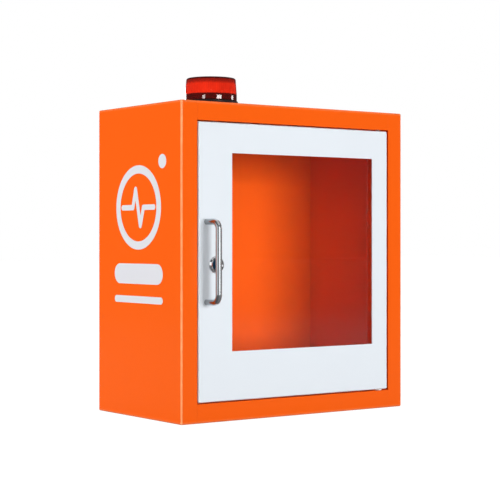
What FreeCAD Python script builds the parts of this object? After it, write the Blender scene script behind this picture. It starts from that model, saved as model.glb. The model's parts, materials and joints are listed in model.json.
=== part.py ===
"""Wall cabinet for an automated external defibrillator, with a windowed door and a beacon.

A folded sheet-steel box hangs on four bolts. Its inset door is a hemmed pan with a clear pane, a
bent-rod handle and a cam lock. The door turns on two pins in nylon bushes, and the upper pin is
sprung, so that the door lifts off. Two magnet catches hold it shut. A plunger switch sees it open
and starts the alarm unit, which hangs under the roof, and the red beacon on the roof above it.

Frame, in millimetres: +X to the right as someone facing the door sees it, +Y into the wall, +Z up.
The origin is the centre of the four wall bolts, on the back face.
"""

import FreeCAD, Part
import math
import os

V = FreeCAD.Vector

# ---- driving dimensions: cabinet -------------------------------------------------------------
BODY_W = 360.0
BODY_D = 200.0
BODY_H = 400.0
SHEET = 1.2  # sheet steel of cabinet and door
INSIDE_BEND = 0.8  # inside radius of every fold
FRAME_W = 24.0  # face of the frame around the door
LIP_SHORT = 1.0  # the frame's lip ends this far in front of the door's back
LIP_EDGE = 0.8  # rounding where the frame folds into its lip
WALL_BOLT_DX = 260.0
WALL_BOLT_DZ = 320.0
WALL_BOLT_HOLE_R = 4.0

# ---- driving dimensions: door ----------------------------------------------------------------
DOOR_GAP = 1.5  # between the door and the frame, all round
DOOR_T = 16.0
HEM = 9.0  # width of the hem behind the door's edge
WINDOW_FROM_LEFT = 51.0
WINDOW_FROM_RIGHT = 27.0
WINDOW_FROM_TOP = 38.0
WINDOW_FROM_BOTTOM = 62.0
PANE_T = 3.0
PANE_LAP = 7.0  # how far the pane reaches behind the sheet
TAPE_T = 1.0  # foam tape between the sheet and the pane
TAPE_SETBACK = 1.0  # from the window's edge
CLIP_W = 12.0
CLIP_T = 1.0
CLIP_CLEAR = 0.4  # between the pane's edge and a clip
CLIP_HOLD = 3.5  # how far a clip reaches over the pane
CLIP_SPREAD_X = 150.0  # between the two clips on a horizontal edge
CLIP_SPREAD_Z = 170.0
STUD_OUT = 5.4  # from the pane's edge to a clip's stud
STUD_R = 1.5
STUD_L = 5.5
STUD_NUT_AF = 5.5
STUD_NUT_T = 2.4

# ---- driving dimensions: hinge ---------------------------------------------------------------
PIN_FROM_EDGE = 11.0  # pin axis to the door's right edge
PIN_BACK = 7.0  # pin axis behind the door's face
PIN_R = 2.5
PIN_IN_FRAME = 5.0  # how far a pin stands into the frame
PIN_HEAD_R = 4.5
PIN_HEAD_T = 2.0
BUSH_WALL = 1.45
BUSH_FLANGE_R = 5.0
BUSH_FLANGE_T = 1.2
HINGE_PLATE_T = 2.0
HINGE_PLATE_L = 18.0
HINGE_BRACKET_L = 26.0  # from the door's top flange to the far side of the lower ear
COLLAR_R = 4.0
COLLAR_T = 1.5
RETRACT = 7.0  # travel of the upper pin
LEVER_R = 1.5
LEVER_L = 8.5
PIN_TAIL = 4.5  # length of the upper pin below its ear
SPRING_COILS = 7
SPRING_WIRE_R = 0.35

# ---- driving dimensions: handle and lock -----------------------------------------------------
HANDLE_FROM_LEFT = 12.5
HANDLE_CC = 100.0
HANDLE_R = 4.0
HANDLE_REACH = 30.0  # door face to the front of the bar
HANDLE_BEND = 10.0
HANDLE_SCREW_R = 2.0
HANDLE_THREAD = 10.0
HANDLE_WASHER_R = 4.5
HANDLE_WASHER_T = 0.8
LOCK_FROM_LEFT = 26.5
LOCK_BELOW_MIDDLE = 3.5
LOCK_HEAD_R = 11.0
LOCK_HEAD_H = 4.0
LOCK_RIM_H = 1.6
LOCK_BODY_R = 9.4
LOCK_FLATS = 16.4
LOCK_NUT_AF = 22.0
LOCK_NUT_T = 3.0
PLUG_R = 6.0
PLUG_SINK = 2.6  # plug face below the head's crown
KEYWAY_W = 1.8
KEYWAY_H = 7.6
KEYWAY_DEEP = 14.0
CAM_T = 2.0
CAM_W = 13.0
CAM_HOOK = 8.0  # how far the locked cam reaches behind the frame's lip
CAM_GAP = 0.6  # between the door's hem and the cam
CAM_SQUARE = 6.5
CAM_SCREW_R = 2.0
CAM_SCREW_L = 8.0
CAM_SCREW_HEAD_R = 4.6
CAM_SCREW_HEAD_T = 2.6

# ---- driving dimensions: magnet catches ------------------------------------------------------
CATCH_RISE = 120.0  # each catch above or below the middle of the door
CATCH_L = 40.0
CATCH_W = 12.0
CATCH_T = 14.0
MAGNET_L = 30.0
MAGNET_W = 5.0
MAGNET_T = 8.0
MAGNET_GAP = 0.3  # between the magnet and the door's hem
MAGNET_PROUD = 0.4  # magnet face in front of its housing
CATCH_BRACKET_T = 1.5
CATCH_FOOT = 20.0
CATCH_BRACKET_L = 26.0

# ---- driving dimensions: door switch ---------------------------------------------------------
SWITCH_FROM_LEFT = 200.0
SWITCH_BARREL_R = 5.0
SWITCH_BARREL_L = 18.0
SWITCH_FLANGE_R = 7.5
SWITCH_FLANGE_T = 2.0
SWITCH_NUT_AF = 13.0
SWITCH_NUT_T = 2.5
SWITCH_BACK = 24.0  # front of the barrel behind the cabinet's face
PLUNGER_R = 2.4
PLUNGER_TRAVEL = 4.0
PLUNGER_GAP = 0.3  # between the pressed plunger and the door's hem
PLUNGER_HEAD_R = 3.4
PLUNGER_HEAD_L = 3.0
SWITCH_TERMINAL_L = 7.0
SWITCH_BRACKET_T = 1.5
SWITCH_BRACKET_W = 20.0
SWITCH_BRACKET_FOOT = 16.0

# ---- driving dimensions: beacon --------------------------------------------------------------
BEACON_FROM_LEFT = 113.0
BEACON_FROM_FRONT = 100.0
GASKET_T = 1.5
BASE_LEDGE = 1.4  # base beyond the lens
BASE_H = 9.5
BASE_FLOOR = 3.0
COLLAR_OUT_R = 31.0
COLLAR_WALL = 2.0
COLLAR_UP = 8.5  # collar above the base's shoulder
LENS_TAPER = 1.4
LENS_EASE = 0.4  # between the base's lugs and the lens
LENS_SKIRT_H = 8.0
LENS_H = 29.6
LENS_WALL = 2.0
LENS_CROWN = 2.5
LUG_T = 0.8
LUG_H = 2.0
LUG_SWEEP = 20.0
TAB_SWEEP = 12.0
LUG_COUNT = 3
BEACON_STUD_DX = 48.0
BEACON_STUD_R = 2.0
BEACON_STUD_L = 16.0
BEACON_BOSS_R = 4.5
BEACON_NUT_AF = 7.0
BEACON_NUT_T = 3.2
BEACON_BOARD_T = 1.6
BEACON_BOARD_R = 26.0
BEACON_POST_R = 2.2
LAMP_COUNT = 8
LAMP_RING_R = 18.0
LAMP_R = 2.5
LAMP_H = 7.0
TOWER_R = 8.0
TOWER_H = 15.0
CABLE_HOLE_R = 7.0
CABLE_BORE_R = 4.0
GROMMET_FLANGE = 2.2
GROMMET_T = 1.3

# ---- driving dimensions: alarm unit ----------------------------------------------------------
ALARM_W = 126.0
ALARM_D = 90.0
ALARM_H = 34.0
ALARM_WALL = 2.0
ALARM_LEFT_OF_BEACON = 62.0  # beacon axis to the unit's left side
ALARM_FRONT_OF_BEACON = 46.0
ALARM_COVER_T = 2.0
ALARM_STUD_R = 2.0
ALARM_STUD_L = 7.0
ALARM_STUD_INSET = 9.0
ALARM_NUT_AF = 7.0
ALARM_NUT_T = 3.2
ALARM_POST_R = 3.6
ALARM_WINDOW_W = 70.0  # hole in the unit's top for the beacon's nuts and leads
ALARM_WINDOW_D = 26.0
COVER_SCREW_R = 1.25
COVER_SCREW_L = 9.0
COVER_SCREW_HEAD_R = 2.6
COVER_SCREW_HEAD_T = 1.6
CELL_R = 7.2
CELL_L = 49.0
CELL_COUNT = 3
CELL_GAP = 1.0
CELL_BUTTON_R = 2.7
CELL_BUTTON_H = 1.3
CONTACT_T = 0.5
CONTACT_W = 10.0
LEAF_W = 6.0  # the sprung leaf at a cell's flat end
TRAY_WALL = 1.4
HATCH_T = 1.8
HATCH_LAP = 3.0
HATCH_TRAVEL = 45.0
HATCH_RAIL = 2.2
HATCH_SLIP = 0.3
ALARM_BOARD_T = 1.6
ALARM_BOARD_W = 46.0
ALARM_BOARD_D = 34.0
ALARM_BOARD_DOWN = 14.0
SIREN_R = 14.0
SIREN_H = 8.0
SIREN_SLOTS = 5
SIREN_SLOT_W = 2.0
SIREN_SLOT_PITCH = 4.4
ROCKER_W = 13.0
ROCKER_H = 17.0
ROCKER_FRAME = 2.0
ROCKER_WALL = 1.2
ROCKER_BEZEL_T = 1.6
ROCKER_BODY_D = 12.0
ROCKER_FROM_LEFT = 24.0
ROCKER_THROW = 16.0  # degrees between off and on
ROCKER_AXLE_R = 1.2

# ---- driving dimensions: side markings, cut from thin film -----------------------------------
FILM_T = 0.15
RING_UP = 69.0  # ring's centre above the cabinet's middle
RING_R = 54.0
RING_W = 10.5
TRACE_W = 7.0
DOT_R = 9.0
DOT_OFFSET = 57.0
BAR_L = 116.0
BAR_H = 26.0
BAR_UP = -16.0
THIN_BAR_H = 9.0
THIN_BAR_UP = -49.0

RUN = 0.05  # radial clearance of a shaft that turns or slides
EASE = 0.3  # clearance between parts that only pass each other

# ---- places that follow from the sizes -------------------------------------------------------
BEND = SHEET + INSIDE_BEND
LEFT, RIGHT = -BODY_W / 2, BODY_W / 2
FRONT, BACK = -BODY_D, 0.0
FLOOR, ROOF = -BODY_H / 2, BODY_H / 2
CEILING = ROOF - SHEET

LIP = DOOR_T - LIP_SHORT
OPEN_L, OPEN_R = LEFT + FRAME_W, RIGHT - FRAME_W
OPEN_B, OPEN_T = FLOOR + FRAME_W, ROOF - FRAME_W

DOOR_L, DOOR_R = OPEN_L + DOOR_GAP, OPEN_R - DOOR_GAP
DOOR_B, DOOR_TOP = OPEN_B + DOOR_GAP, OPEN_T - DOOR_GAP
DOOR_REAR = FRONT + DOOR_T
DOOR_MID = (DOOR_B + DOOR_TOP) / 2
SKIN = FRONT + SHEET  # back of the door's front sheet

WIN_L, WIN_R = DOOR_L + WINDOW_FROM_LEFT, DOOR_R - WINDOW_FROM_RIGHT
WIN_B, WIN_T = DOOR_B + WINDOW_FROM_BOTTOM, DOOR_TOP - WINDOW_FROM_TOP
PANE_FRONT = SKIN + TAPE_T
PANE_REAR = PANE_FRONT + PANE_T

PIN_X = DOOR_R - PIN_FROM_EDGE
PIN_Y = FRONT + PIN_BACK
BUSH_R = PIN_R + BUSH_WALL
SWING_LIMIT = 2 * math.degrees(math.atan((PIN_FROM_EDGE + DOOR_GAP) / PIN_BACK))

HANDLE_X = DOOR_L + HANDLE_FROM_LEFT
BAR_Y = FRONT - HANDLE_REACH + HANDLE_R
LOCK_X = DOOR_L + LOCK_FROM_LEFT
LOCK_Z = DOOR_MID - LOCK_BELOW_MIDDLE
CAM_FRONT = DOOR_REAR + CAM_GAP
CAM_REAR = CAM_FRONT + CAM_T
CAM_REACH = LOCK_FROM_LEFT + DOOR_GAP + CAM_HOOK

BEACON_X = LEFT + BEACON_FROM_LEFT
BEACON_Y = FRONT + BEACON_FROM_FRONT
LENS_R = COLLAR_OUT_R + LUG_T + LENS_EASE + LENS_WALL
LENS_TOP_R = LENS_R - LENS_TAPER
BASE_R = LENS_R + BASE_LEDGE
BASE_BOTTOM = ROOF + GASKET_T
SHOULDER = BASE_BOTTOM + BASE_H
COLLAR_TOP = SHOULDER + COLLAR_UP

ALARM_L = BEACON_X - ALARM_LEFT_OF_BEACON
ALARM_R = ALARM_L + ALARM_W
ALARM_F = BEACON_Y - ALARM_FRONT_OF_BEACON
ALARM_B = ALARM_F + ALARM_D
ALARM_TOP = CEILING
ALARM_BOTTOM = CEILING - ALARM_H
COVER_BOTTOM = ALARM_BOTTOM - ALARM_COVER_T

SWITCH_X = LEFT + SWITCH_FROM_LEFT
SWITCH_Z = DOOR_TOP - HEM / 2
BARREL_FRONT = FRONT + SWITCH_BACK


# ---- plain shapes ----------------------------------------------------------------------------
def block(x0, x1, y0, y1, z0, z1):
    """A box between two corners."""
    return Part.makeBox(x1 - x0, y1 - y0, z1 - z0, V(x0, y0, z0))


def rounded_box(x0, x1, y0, y1, z0, z1, radius):
    box = block(x0, x1, y0, y1, z0, z1)
    return box.makeFillet(radius, box.Edges)


def rod(start, axis, length, radius):
    """A cylinder that starts at a point and runs along an axis."""
    return Part.makeCylinder(radius, length, V(*start), V(*axis))


def joined(shapes):
    """Shapes that touch or overlap, as one solid."""
    return shapes[0].fuse(shapes[1:]).removeSplitter()


def group(shapes):
    """Separate solids in one node."""
    return Part.makeCompound(shapes)


def placed(shape, position, axis=(0, 0, 1)):
    """A shape built along +Z at the origin, set down at a position with +Z turned to an axis."""
    moved = shape.copy()
    turn = FreeCAD.Placement(V(*position), FreeCAD.Rotation(V(0, 0, 1), V(*axis)))
    moved.Placement = turn.multiply(moved.Placement)
    return moved


def turned(outline):
    """A solid of revolution about Z. The outline is a closed list of (radius, height)."""
    points = [V(r, 0, z) for r, z in outline + outline[:1]]
    return Part.Face(Part.makePolygon(points)).revolve(V(0, 0, 0), V(0, 0, 1), 360)


def sector(inner, outer, z0, z1, middle, sweep):
    """Part of a flat ring about Z, centred on an angle in degrees."""
    half = Part.Face(Part.makePolygon([V(r, 0, z) for r, z in
                                       ((inner, z0), (outer, z0), (outer, z1), (inner, z1), (inner, z0))]))
    solid = half.revolve(V(0, 0, 0), V(0, 0, 1), sweep)
    solid.rotate(V(0, 0, 0), V(0, 0, 1), middle - sweep / 2)
    return solid


def hexagon(across_flats, thickness):
    """A hexagonal prism on the XY plane."""
    corner = across_flats / 2 / math.cos(math.pi / 6)
    points = [V(corner * math.cos(k * math.pi / 3), corner * math.sin(k * math.pi / 3), 0) for k in range(7)]
    return Part.Face(Part.makePolygon(points)).extrude(V(0, 0, thickness))


def hex_nut(across_flats, thickness, bore):
    """A nut whose corners are turned off at both ends."""
    corner = across_flats / 2 / math.cos(math.pi / 6)
    flat = across_flats / 2
    bevel = (corner - flat) * 0.6
    barrel = turned([(0, 0), (flat, 0), (corner, bevel), (corner, thickness - bevel), (flat, thickness),
                     (0, thickness)])
    return hexagon(across_flats, thickness).common(barrel).cut(rod((0, 0, 0), (0, 0, 1), thickness, bore))


def washer(outer, inner, thickness):
    return rod((0, 0, 0), (0, 0, 1), thickness, outer).cut(rod((0, 0, 0), (0, 0, 1), thickness, inner))


def pan_screw(shank, length, head, head_height):
    """A pan-head screw with a cross recess. Its head stands on z = 0 and its shank points down."""
    dome = rod((0, 0, 0), (0, 0, 1), head_height, head)
    rim = [e for e in dome.Edges if abs(e.BoundBox.ZMin - head_height) < 1e-6 and e.BoundBox.ZLength < 1e-6]
    dome = dome.makeFillet(head_height * 0.5, rim)
    arm, slot, deep = head * 0.6, head * 0.14, head_height * 0.55
    cross = joined([
        block(-arm, arm, -slot, slot, head_height - deep, head_height + 1),
        block(-slot, slot, -arm, arm, head_height - deep, head_height + 1),
    ])
    return joined([dome.cut(cross), rod((0, 0, -length), (0, 0, 1), length, shank)])


def coil_spring(radius, wire, length, coils):
    """An open coil spring along +Z, from z = 0 to z = length over its wire."""
    pitch = (length - 2 * wire) / coils
    path = Part.makeHelix(pitch, pitch * coils, radius)
    section = Part.Wire(Part.Circle(V(radius, 0, 0), V(0, 1, 0), wire).toShape())
    spring = Part.Wire(path.Edges).makePipeShell([section], True, True)
    spring.translate(V(0, 0, wire))
    return spring


# ---- cabinet ---------------------------------------------------------------------------------
def cabinet_sheet():
    """The whole folded and welded box, before it is divided into its blanks."""
    outer = rounded_box(LEFT, RIGHT, FRONT, BACK, FLOOR, ROOF, BEND)
    inner = rounded_box(LEFT + SHEET, RIGHT - SHEET, FRONT + SHEET, BACK - SHEET,
                        FLOOR + SHEET, CEILING, INSIDE_BEND)
    opening = block(OPEN_L, OPEN_R, FRONT - 1, FRONT + SHEET + 1, OPEN_B, OPEN_T)
    lips = [
        block(OPEN_L, OPEN_R, FRONT, FRONT + LIP, OPEN_T, OPEN_T + SHEET),
        block(OPEN_L, OPEN_R, FRONT, FRONT + LIP, OPEN_B - SHEET, OPEN_B),
        block(OPEN_L - SHEET, OPEN_L, FRONT, FRONT + LIP, OPEN_B, OPEN_T),
    ]
    sheet = joined([outer.cut(inner).cut(opening)] + lips)

    def folds_into_lip(edge):
        box = edge.BoundBox
        if abs(box.YMin - FRONT) > 1e-6 or box.YLength > 1e-6:
            return False
        inside = OPEN_L - 1e-6 <= box.XMin and box.XMax <= OPEN_R + 1e-6
        inside = inside and OPEN_B - 1e-6 <= box.ZMin and box.ZMax <= OPEN_T + 1e-6
        return inside and box.XMin < OPEN_R - 1e-6

    return sheet.makeFillet(LIP_EDGE, [e for e in sheet.Edges if folds_into_lip(e)])


def blank_zone(roof_side):
    """Where the roof blank is, with its frame face and lip, or the floor blank."""
    plate = block(LEFT - 1, RIGHT + 1, FRONT - 1, BACK + 1, CEILING, ROOF + 1)
    face = block(OPEN_L, OPEN_R, FRONT - 1, FRONT + LIP + 1, OPEN_T, ROOF + 1)
    zone = joined([plate, face])
    return zone if roof_side else zone.mirror(V(0, 0, 0), V(0, 0, 1))


def wall_bolt_places():
    return [(sx * WALL_BOLT_DX / 2, sz * WALL_BOLT_DZ / 2) for sx in (-1, 1) for sz in (-1, 1)]


def body_wrap(sheet):
    """Left side, back and right side, with the frame's two uprights."""
    wrap = sheet.cut(blank_zone(True)).cut(blank_zone(False))
    for x, z in wall_bolt_places():
        wrap = wrap.cut(rod((x, BACK - SHEET - 1, z), (0, 1, 0), SHEET + 2, WALL_BOLT_HOLE_R))
    return wrap


def beacon_stud_places():
    return [(BEACON_X + s * BEACON_STUD_DX / 2, BEACON_Y) for s in (-1, 1)]


def top_panel(sheet):
    panel = sheet.common(blank_zone(True))
    panel = panel.cut(rod((BEACON_X, BEACON_Y, CEILING - 1), (0, 0, 1), SHEET + 2, CABLE_HOLE_R))
    for x, y in beacon_stud_places():
        panel = panel.cut(rod((x, y, CEILING - 1), (0, 0, 1), SHEET + 2, BEACON_STUD_R + EASE))
    return panel.cut(rod((PIN_X, PIN_Y, OPEN_T - 1), (0, 0, 1), SHEET + 2, BUSH_R))


def bottom_panel(sheet):
    panel = sheet.common(blank_zone(False))
    return panel.cut(rod((PIN_X, PIN_Y, OPEN_B - SHEET - 1), (0, 0, 1), SHEET + 2, BUSH_R))


def hinge_bush(edge, outward, flange_from):
    """A nylon bush in the frame's lip, with a flange that starts that far behind the lip's edge."""
    sleeve = washer(BUSH_R, PIN_R + RUN, PIN_IN_FRAME)
    flange = washer(BUSH_FLANGE_R, PIN_R + RUN, BUSH_FLANGE_T)
    flange.translate(V(0, 0, flange_from))
    return placed(joined([sleeve, flange]), (PIN_X, PIN_Y, edge), (0, 0, outward))


# ---- side markings ---------------------------------------------------------------------------
def strip(start, end, width):
    """A flat strip in the XY plane with round ends, FILM_T thick."""
    along = V(*end, 0) - V(*start, 0)
    across = V(-along.y, along.x, 0).normalize() * (width / 2)
    a, b = V(*start, 0), V(*end, 0)
    corners = [a + across, b + across, b - across, a - across, a + across]
    pieces = [Part.Face(Part.makePolygon(corners)).extrude(V(0, 0, FILM_T))]
    pieces += [rod((p.x, p.y, 0), (0, 0, 1), FILM_T, width / 2) for p in (a, b)]
    return joined(pieces)


def pulse_trace():
    """A heartbeat trace that runs across the inside of the ring."""
    reach = RING_R - RING_W - 6
    knee, peak = reach * 0.34, reach * 0.62
    points = [(-reach, 0), (-knee, 0), (-knee * 0.5, peak), (knee * 0.4, -peak), (knee, 0), (reach, 0)]
    return joined([strip(a, b, TRACE_W) for a, b in zip(points, points[1:])])


def side_marking(side):
    """A ring with a pulse trace, a dot and two bars, cut from film and stuck on one side."""
    ring = washer(RING_R, RING_R - RING_W, FILM_T)
    mark = [ring, pulse_trace(), rod((DOT_OFFSET, DOT_OFFSET, 0), (0, 0, 1), FILM_T, DOT_R)]
    for up, height in ((BAR_UP, BAR_H), (THIN_BAR_UP, THIN_BAR_H)):
        half = BAR_L / 2 - height / 2
        mark.append(strip((-half, up - RING_UP), (half, up - RING_UP), height))
    # the sheet's X runs to the reader's right, its Y runs up, and its Z points out of the cabinet's side
    upright = FreeCAD.Rotation(V(1, 0, 0), 90)
    facing = FreeCAD.Rotation(V(0, 0, 1), side * 90)
    film = group(mark)
    centre = V(side * BODY_W / 2, -BODY_D / 2, RING_UP)
    film.Placement = FreeCAD.Placement(centre, facing.multiply(upright))
    return film


# ---- door ------------------------------------------------------------------------------------
def handle_leg_heights():
    return [DOOR_MID - HANDLE_CC / 2, DOOR_MID + HANDLE_CC / 2]


def lock_section(length, flats):
    """The lock's barrel section: a circle with two flats, left and right."""
    body = rod((0, 0, 0), (0, 0, 1), length, LOCK_BODY_R)
    return body.common(block(-flats / 2, flats / 2, -LOCK_BODY_R, LOCK_BODY_R, 0, length))


def at_lock(shape):
    """A shape built along +Z, set on the lock's axis with +Z running in and +Y running down."""
    return placed(shape, (LOCK_X, FRONT, LOCK_Z), (0, 1, 0))


def door_panel():
    """The door: a pan with its edges folded back and then in, and a window cut in its face."""
    pan = rounded_box(DOOR_L, DOOR_R, FRONT, DOOR_REAR, DOOR_B, DOOR_TOP, BEND)
    room = rounded_box(DOOR_L + SHEET, DOOR_R - SHEET, SKIN, DOOR_REAR - SHEET,
                       DOOR_B + SHEET, DOOR_TOP - SHEET, INSIDE_BEND)
    back = block(DOOR_L + HEM, DOOR_R - HEM, DOOR_REAR - SHEET - 1, DOOR_REAR + 1,
                 DOOR_B + HEM, DOOR_TOP - HEM)
    pan = pan.cut(room).cut(back).cut(window_block(0, FRONT - 1, SKIN + 1))
    pan = pan.cut(placed(lock_section(SHEET + 2, LOCK_FLATS), (LOCK_X, FRONT - 1, LOCK_Z), (0, 1, 0)))
    for z in handle_leg_heights():
        pan = pan.cut(rod((HANDLE_X, FRONT - 1, z), (0, 1, 0), SHEET + 2, HANDLE_SCREW_R + EASE))
    pan = pan.cut(rod((PIN_X, PIN_Y, DOOR_B - 1), (0, 0, 1), SHEET + 2, PIN_R))
    return pan.cut(rod((PIN_X, PIN_Y, DOOR_TOP - SHEET - 1), (0, 0, 1), SHEET + 2, PIN_R + RUN))


def window_block(margin, y0, y1):
    """A slab as large as the window with a margin all round."""
    return block(WIN_L - margin, WIN_R + margin, y0, y1, WIN_B - margin, WIN_T + margin)


def window_tape():
    """Foam tape that seals the pane to the back of the door's sheet."""
    outer = window_block(PANE_LAP, SKIN, PANE_FRONT)
    return outer.cut(window_block(TAPE_SETBACK, SKIN - 1, PANE_FRONT + 1))


def window_pane():
    pane = window_block(PANE_LAP, PANE_FRONT, PANE_REAR)
    corners = [e for e in pane.Edges if e.BoundBox.YLength > PANE_T / 2]
    return pane.makeFillet(2.0, corners)


def clip_places():
    """Each clip's point on the pane's edge, and its outward direction as (x, z)."""
    mid_x, mid_z = (WIN_L + WIN_R) / 2, (WIN_B + WIN_T) / 2
    places = []
    for s in (-1, 1):
        for edge, out in ((WIN_L - PANE_LAP, -1), (WIN_R + PANE_LAP, 1)):
            places.append(((edge, mid_z + s * CLIP_SPREAD_Z / 2), (out, 0)))
        for edge, out in ((WIN_B - PANE_LAP, -1), (WIN_T + PANE_LAP, 1)):
            places.append(((mid_x + s * CLIP_SPREAD_X / 2, edge), (0, out)))
    return places


def on_clip_places(shape):
    """A copy of the shape at each clip. Built with X outwards from the pane's edge, and Y from the sheet."""
    copies = []
    for (x, z), (dx, dz) in clip_places():
        copy = shape.copy()
        copy.rotate(V(0, 0, 0), V(0, 1, 0), -math.degrees(math.atan2(dz, dx)))
        copy.translate(V(x, SKIN, z))
        copies.append(copy)
    return group(copies)


def pane_clip():
    """A Z-shaped clip: its foot is on the sheet and its arm is over the pane."""
    rise = TAPE_T + PANE_T
    foot_end = STUD_OUT + STUD_NUT_AF / 2 + 0.8
    foot = block(CLIP_CLEAR, foot_end, 0, CLIP_T, -CLIP_W / 2, CLIP_W / 2)
    web = block(CLIP_CLEAR, CLIP_CLEAR + CLIP_T, 0, rise + CLIP_T, -CLIP_W / 2, CLIP_W / 2)
    arm = block(-CLIP_HOLD, CLIP_CLEAR + CLIP_T, rise, rise + CLIP_T, -CLIP_W / 2, CLIP_W / 2)
    return joined([foot, web, arm]).cut(rod((STUD_OUT, -1, 0), (0, 1, 0), CLIP_T + 2, STUD_R + EASE))


def clip_stud():
    return rod((STUD_OUT, 0, 0), (0, 1, 0), STUD_L, STUD_R)


def clip_nut():
    return placed(hex_nut(STUD_NUT_AF, STUD_NUT_T, STUD_R), (STUD_OUT, CLIP_T, 0), (0, 1, 0))


# ---- hinge pins ------------------------------------------------------------------------------
def hinge_plate():
    """The plate that stiffens the door's bottom flange around the lower pin."""
    z = DOOR_B + SHEET
    front, rear = SKIN + INSIDE_BEND, DOOR_REAR - BEND
    plate = block(PIN_X - HINGE_PLATE_L / 2, DOOR_R - BEND, front, rear, z, z + HINGE_PLATE_T)
    return plate.cut(rod((PIN_X, PIN_Y, z - 1), (0, 0, 1), HINGE_PLATE_T + 2, PIN_R))


def lower_hinge_pin():
    head = DOOR_B + SHEET + HINGE_PLATE_T
    end = OPEN_B - PIN_IN_FRAME
    pin = turned([(0, end), (PIN_R - 0.5, end), (PIN_R, end + 0.5), (PIN_R, head), (PIN_HEAD_R, head),
                  (PIN_HEAD_R, head + PIN_HEAD_T), (0, head + PIN_HEAD_T)])
    return placed(pin, (PIN_X, PIN_Y, 0))


def hinge_bracket():
    """A channel welded behind the sheet. Its ear guides the sprung upper pin."""
    top = DOOR_TOP - SHEET
    ear = top - HINGE_BRACKET_L
    half = COLLAR_R + 1.6
    web = block(PIN_X - half, PIN_X + half, SKIN, SKIN + 1, ear, top - INSIDE_BEND)
    shelf = block(PIN_X - half, PIN_X + half, SKIN, DOOR_REAR - SHEET - EASE, ear, ear + HINGE_PLATE_T)
    bracket = joined([web, shelf])
    return bracket.cut(rod((PIN_X, PIN_Y, ear - 1), (0, 0, 1), HINGE_PLATE_T + 2, PIN_R + RUN))


def upper_pin_levels():
    """Heights of the upper pin: collar top, collar foot, ear top and lower end."""
    collar_top = DOOR_TOP - SHEET - EASE
    ear_top = DOOR_TOP - SHEET - HINGE_BRACKET_L + HINGE_PLATE_T
    return collar_top, collar_top - COLLAR_T, ear_top, ear_top - HINGE_PLATE_T - PIN_TAIL


def upper_hinge_pin():
    """The sprung pin, with its collar and the lever that draws it down."""
    collar_top, collar_foot, _, end = upper_pin_levels()
    tip = OPEN_T + PIN_IN_FRAME
    pin = turned([(0, end), (PIN_R, end), (PIN_R, collar_foot), (COLLAR_R, collar_foot),
                  (COLLAR_R, collar_top), (PIN_R, collar_top), (PIN_R, tip - 0.5), (PIN_R - 0.5, tip),
                  (0, tip)])
    lever = rod((0, 0, end + LEVER_R + 0.2), (-1, 0, 0), LEVER_L, LEVER_R)
    return placed(joined([pin, lever]), (PIN_X, PIN_Y, 0))


def upper_hinge_spring():
    _, collar_foot, ear_top, _ = upper_pin_levels()
    radius = (PIN_R + COLLAR_R) / 2
    spring = coil_spring(radius, SPRING_WIRE_R, collar_foot - ear_top - 0.1, SPRING_COILS)
    return placed(spring, (PIN_X, PIN_Y, ear_top + 0.05))


# ---- handle and lock -------------------------------------------------------------------------
def door_handle():
    """A round bar bent into a D, with a tapped hole in the end of each leg."""
    low, high = handle_leg_heights()
    r = HANDLE_BEND
    half = r * (1 - math.cos(math.pi / 4))

    def at(y, z):
        return V(HANDLE_X, y, z)

    path = Part.Wire([
        Part.makeLine(at(FRONT, low), at(BAR_Y + r, low)),
        Part.Arc(at(BAR_Y + r, low), at(BAR_Y + half, low + half), at(BAR_Y, low + r)).toShape(),
        Part.makeLine(at(BAR_Y, low + r), at(BAR_Y, high - r)),
        Part.Arc(at(BAR_Y, high - r), at(BAR_Y + half, high - half), at(BAR_Y + r, high)).toShape(),
        Part.makeLine(at(BAR_Y + r, high), at(FRONT, high)),
    ])
    section = Part.Wire(Part.Circle(at(FRONT, low), V(0, 1, 0), HANDLE_R).toShape())
    bar_solid = path.makePipeShell([section], True, True)
    for z in (low, high):
        bar_solid = bar_solid.cut(rod((HANDLE_X, FRONT, z), (0, -1, 0), HANDLE_THREAD, HANDLE_SCREW_R))
    return bar_solid


def handle_washers():
    ring = washer(HANDLE_WASHER_R, HANDLE_SCREW_R + EASE, HANDLE_WASHER_T)
    return group([placed(ring, (HANDLE_X, SKIN, z), (0, 1, 0)) for z in handle_leg_heights()])


def handle_screws():
    grip = SHEET + HANDLE_WASHER_T + HANDLE_THREAD - 1
    screw = pan_screw(HANDLE_SCREW_R, grip, HANDLE_WASHER_R - 0.6, 2.4)
    y = SKIN + HANDLE_WASHER_T
    return group([placed(screw, (HANDLE_X, y, z), (0, 1, 0)) for z in handle_leg_heights()])


def lock_housing():
    """The fixed barrel. Its domed head stands in front of the door, dished around the plug."""
    mouth = PLUG_R + RUN
    head = turned([
        (mouth, 0), (LOCK_HEAD_R, 0), (LOCK_HEAD_R, -LOCK_RIM_H), (LOCK_HEAD_R - 1.4, -LOCK_HEAD_H + 0.5),
        (LOCK_HEAD_R - 2.4, -LOCK_HEAD_H), (mouth + 1.6, -LOCK_HEAD_H),
        (mouth, -LOCK_HEAD_H + PLUG_SINK - 0.3),
    ])
    barrel = lock_section(CAM_FRONT - FRONT - EASE, LOCK_FLATS)
    barrel = barrel.cut(rod((0, 0, -1), (0, 0, 1), CAM_FRONT - FRONT + 2, mouth))
    return at_lock(joined([head, barrel]))


def lock_nut():
    return at_lock(placed(hex_nut(LOCK_NUT_AF, LOCK_NUT_T, LOCK_BODY_R), (0, 0, SHEET)))


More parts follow.
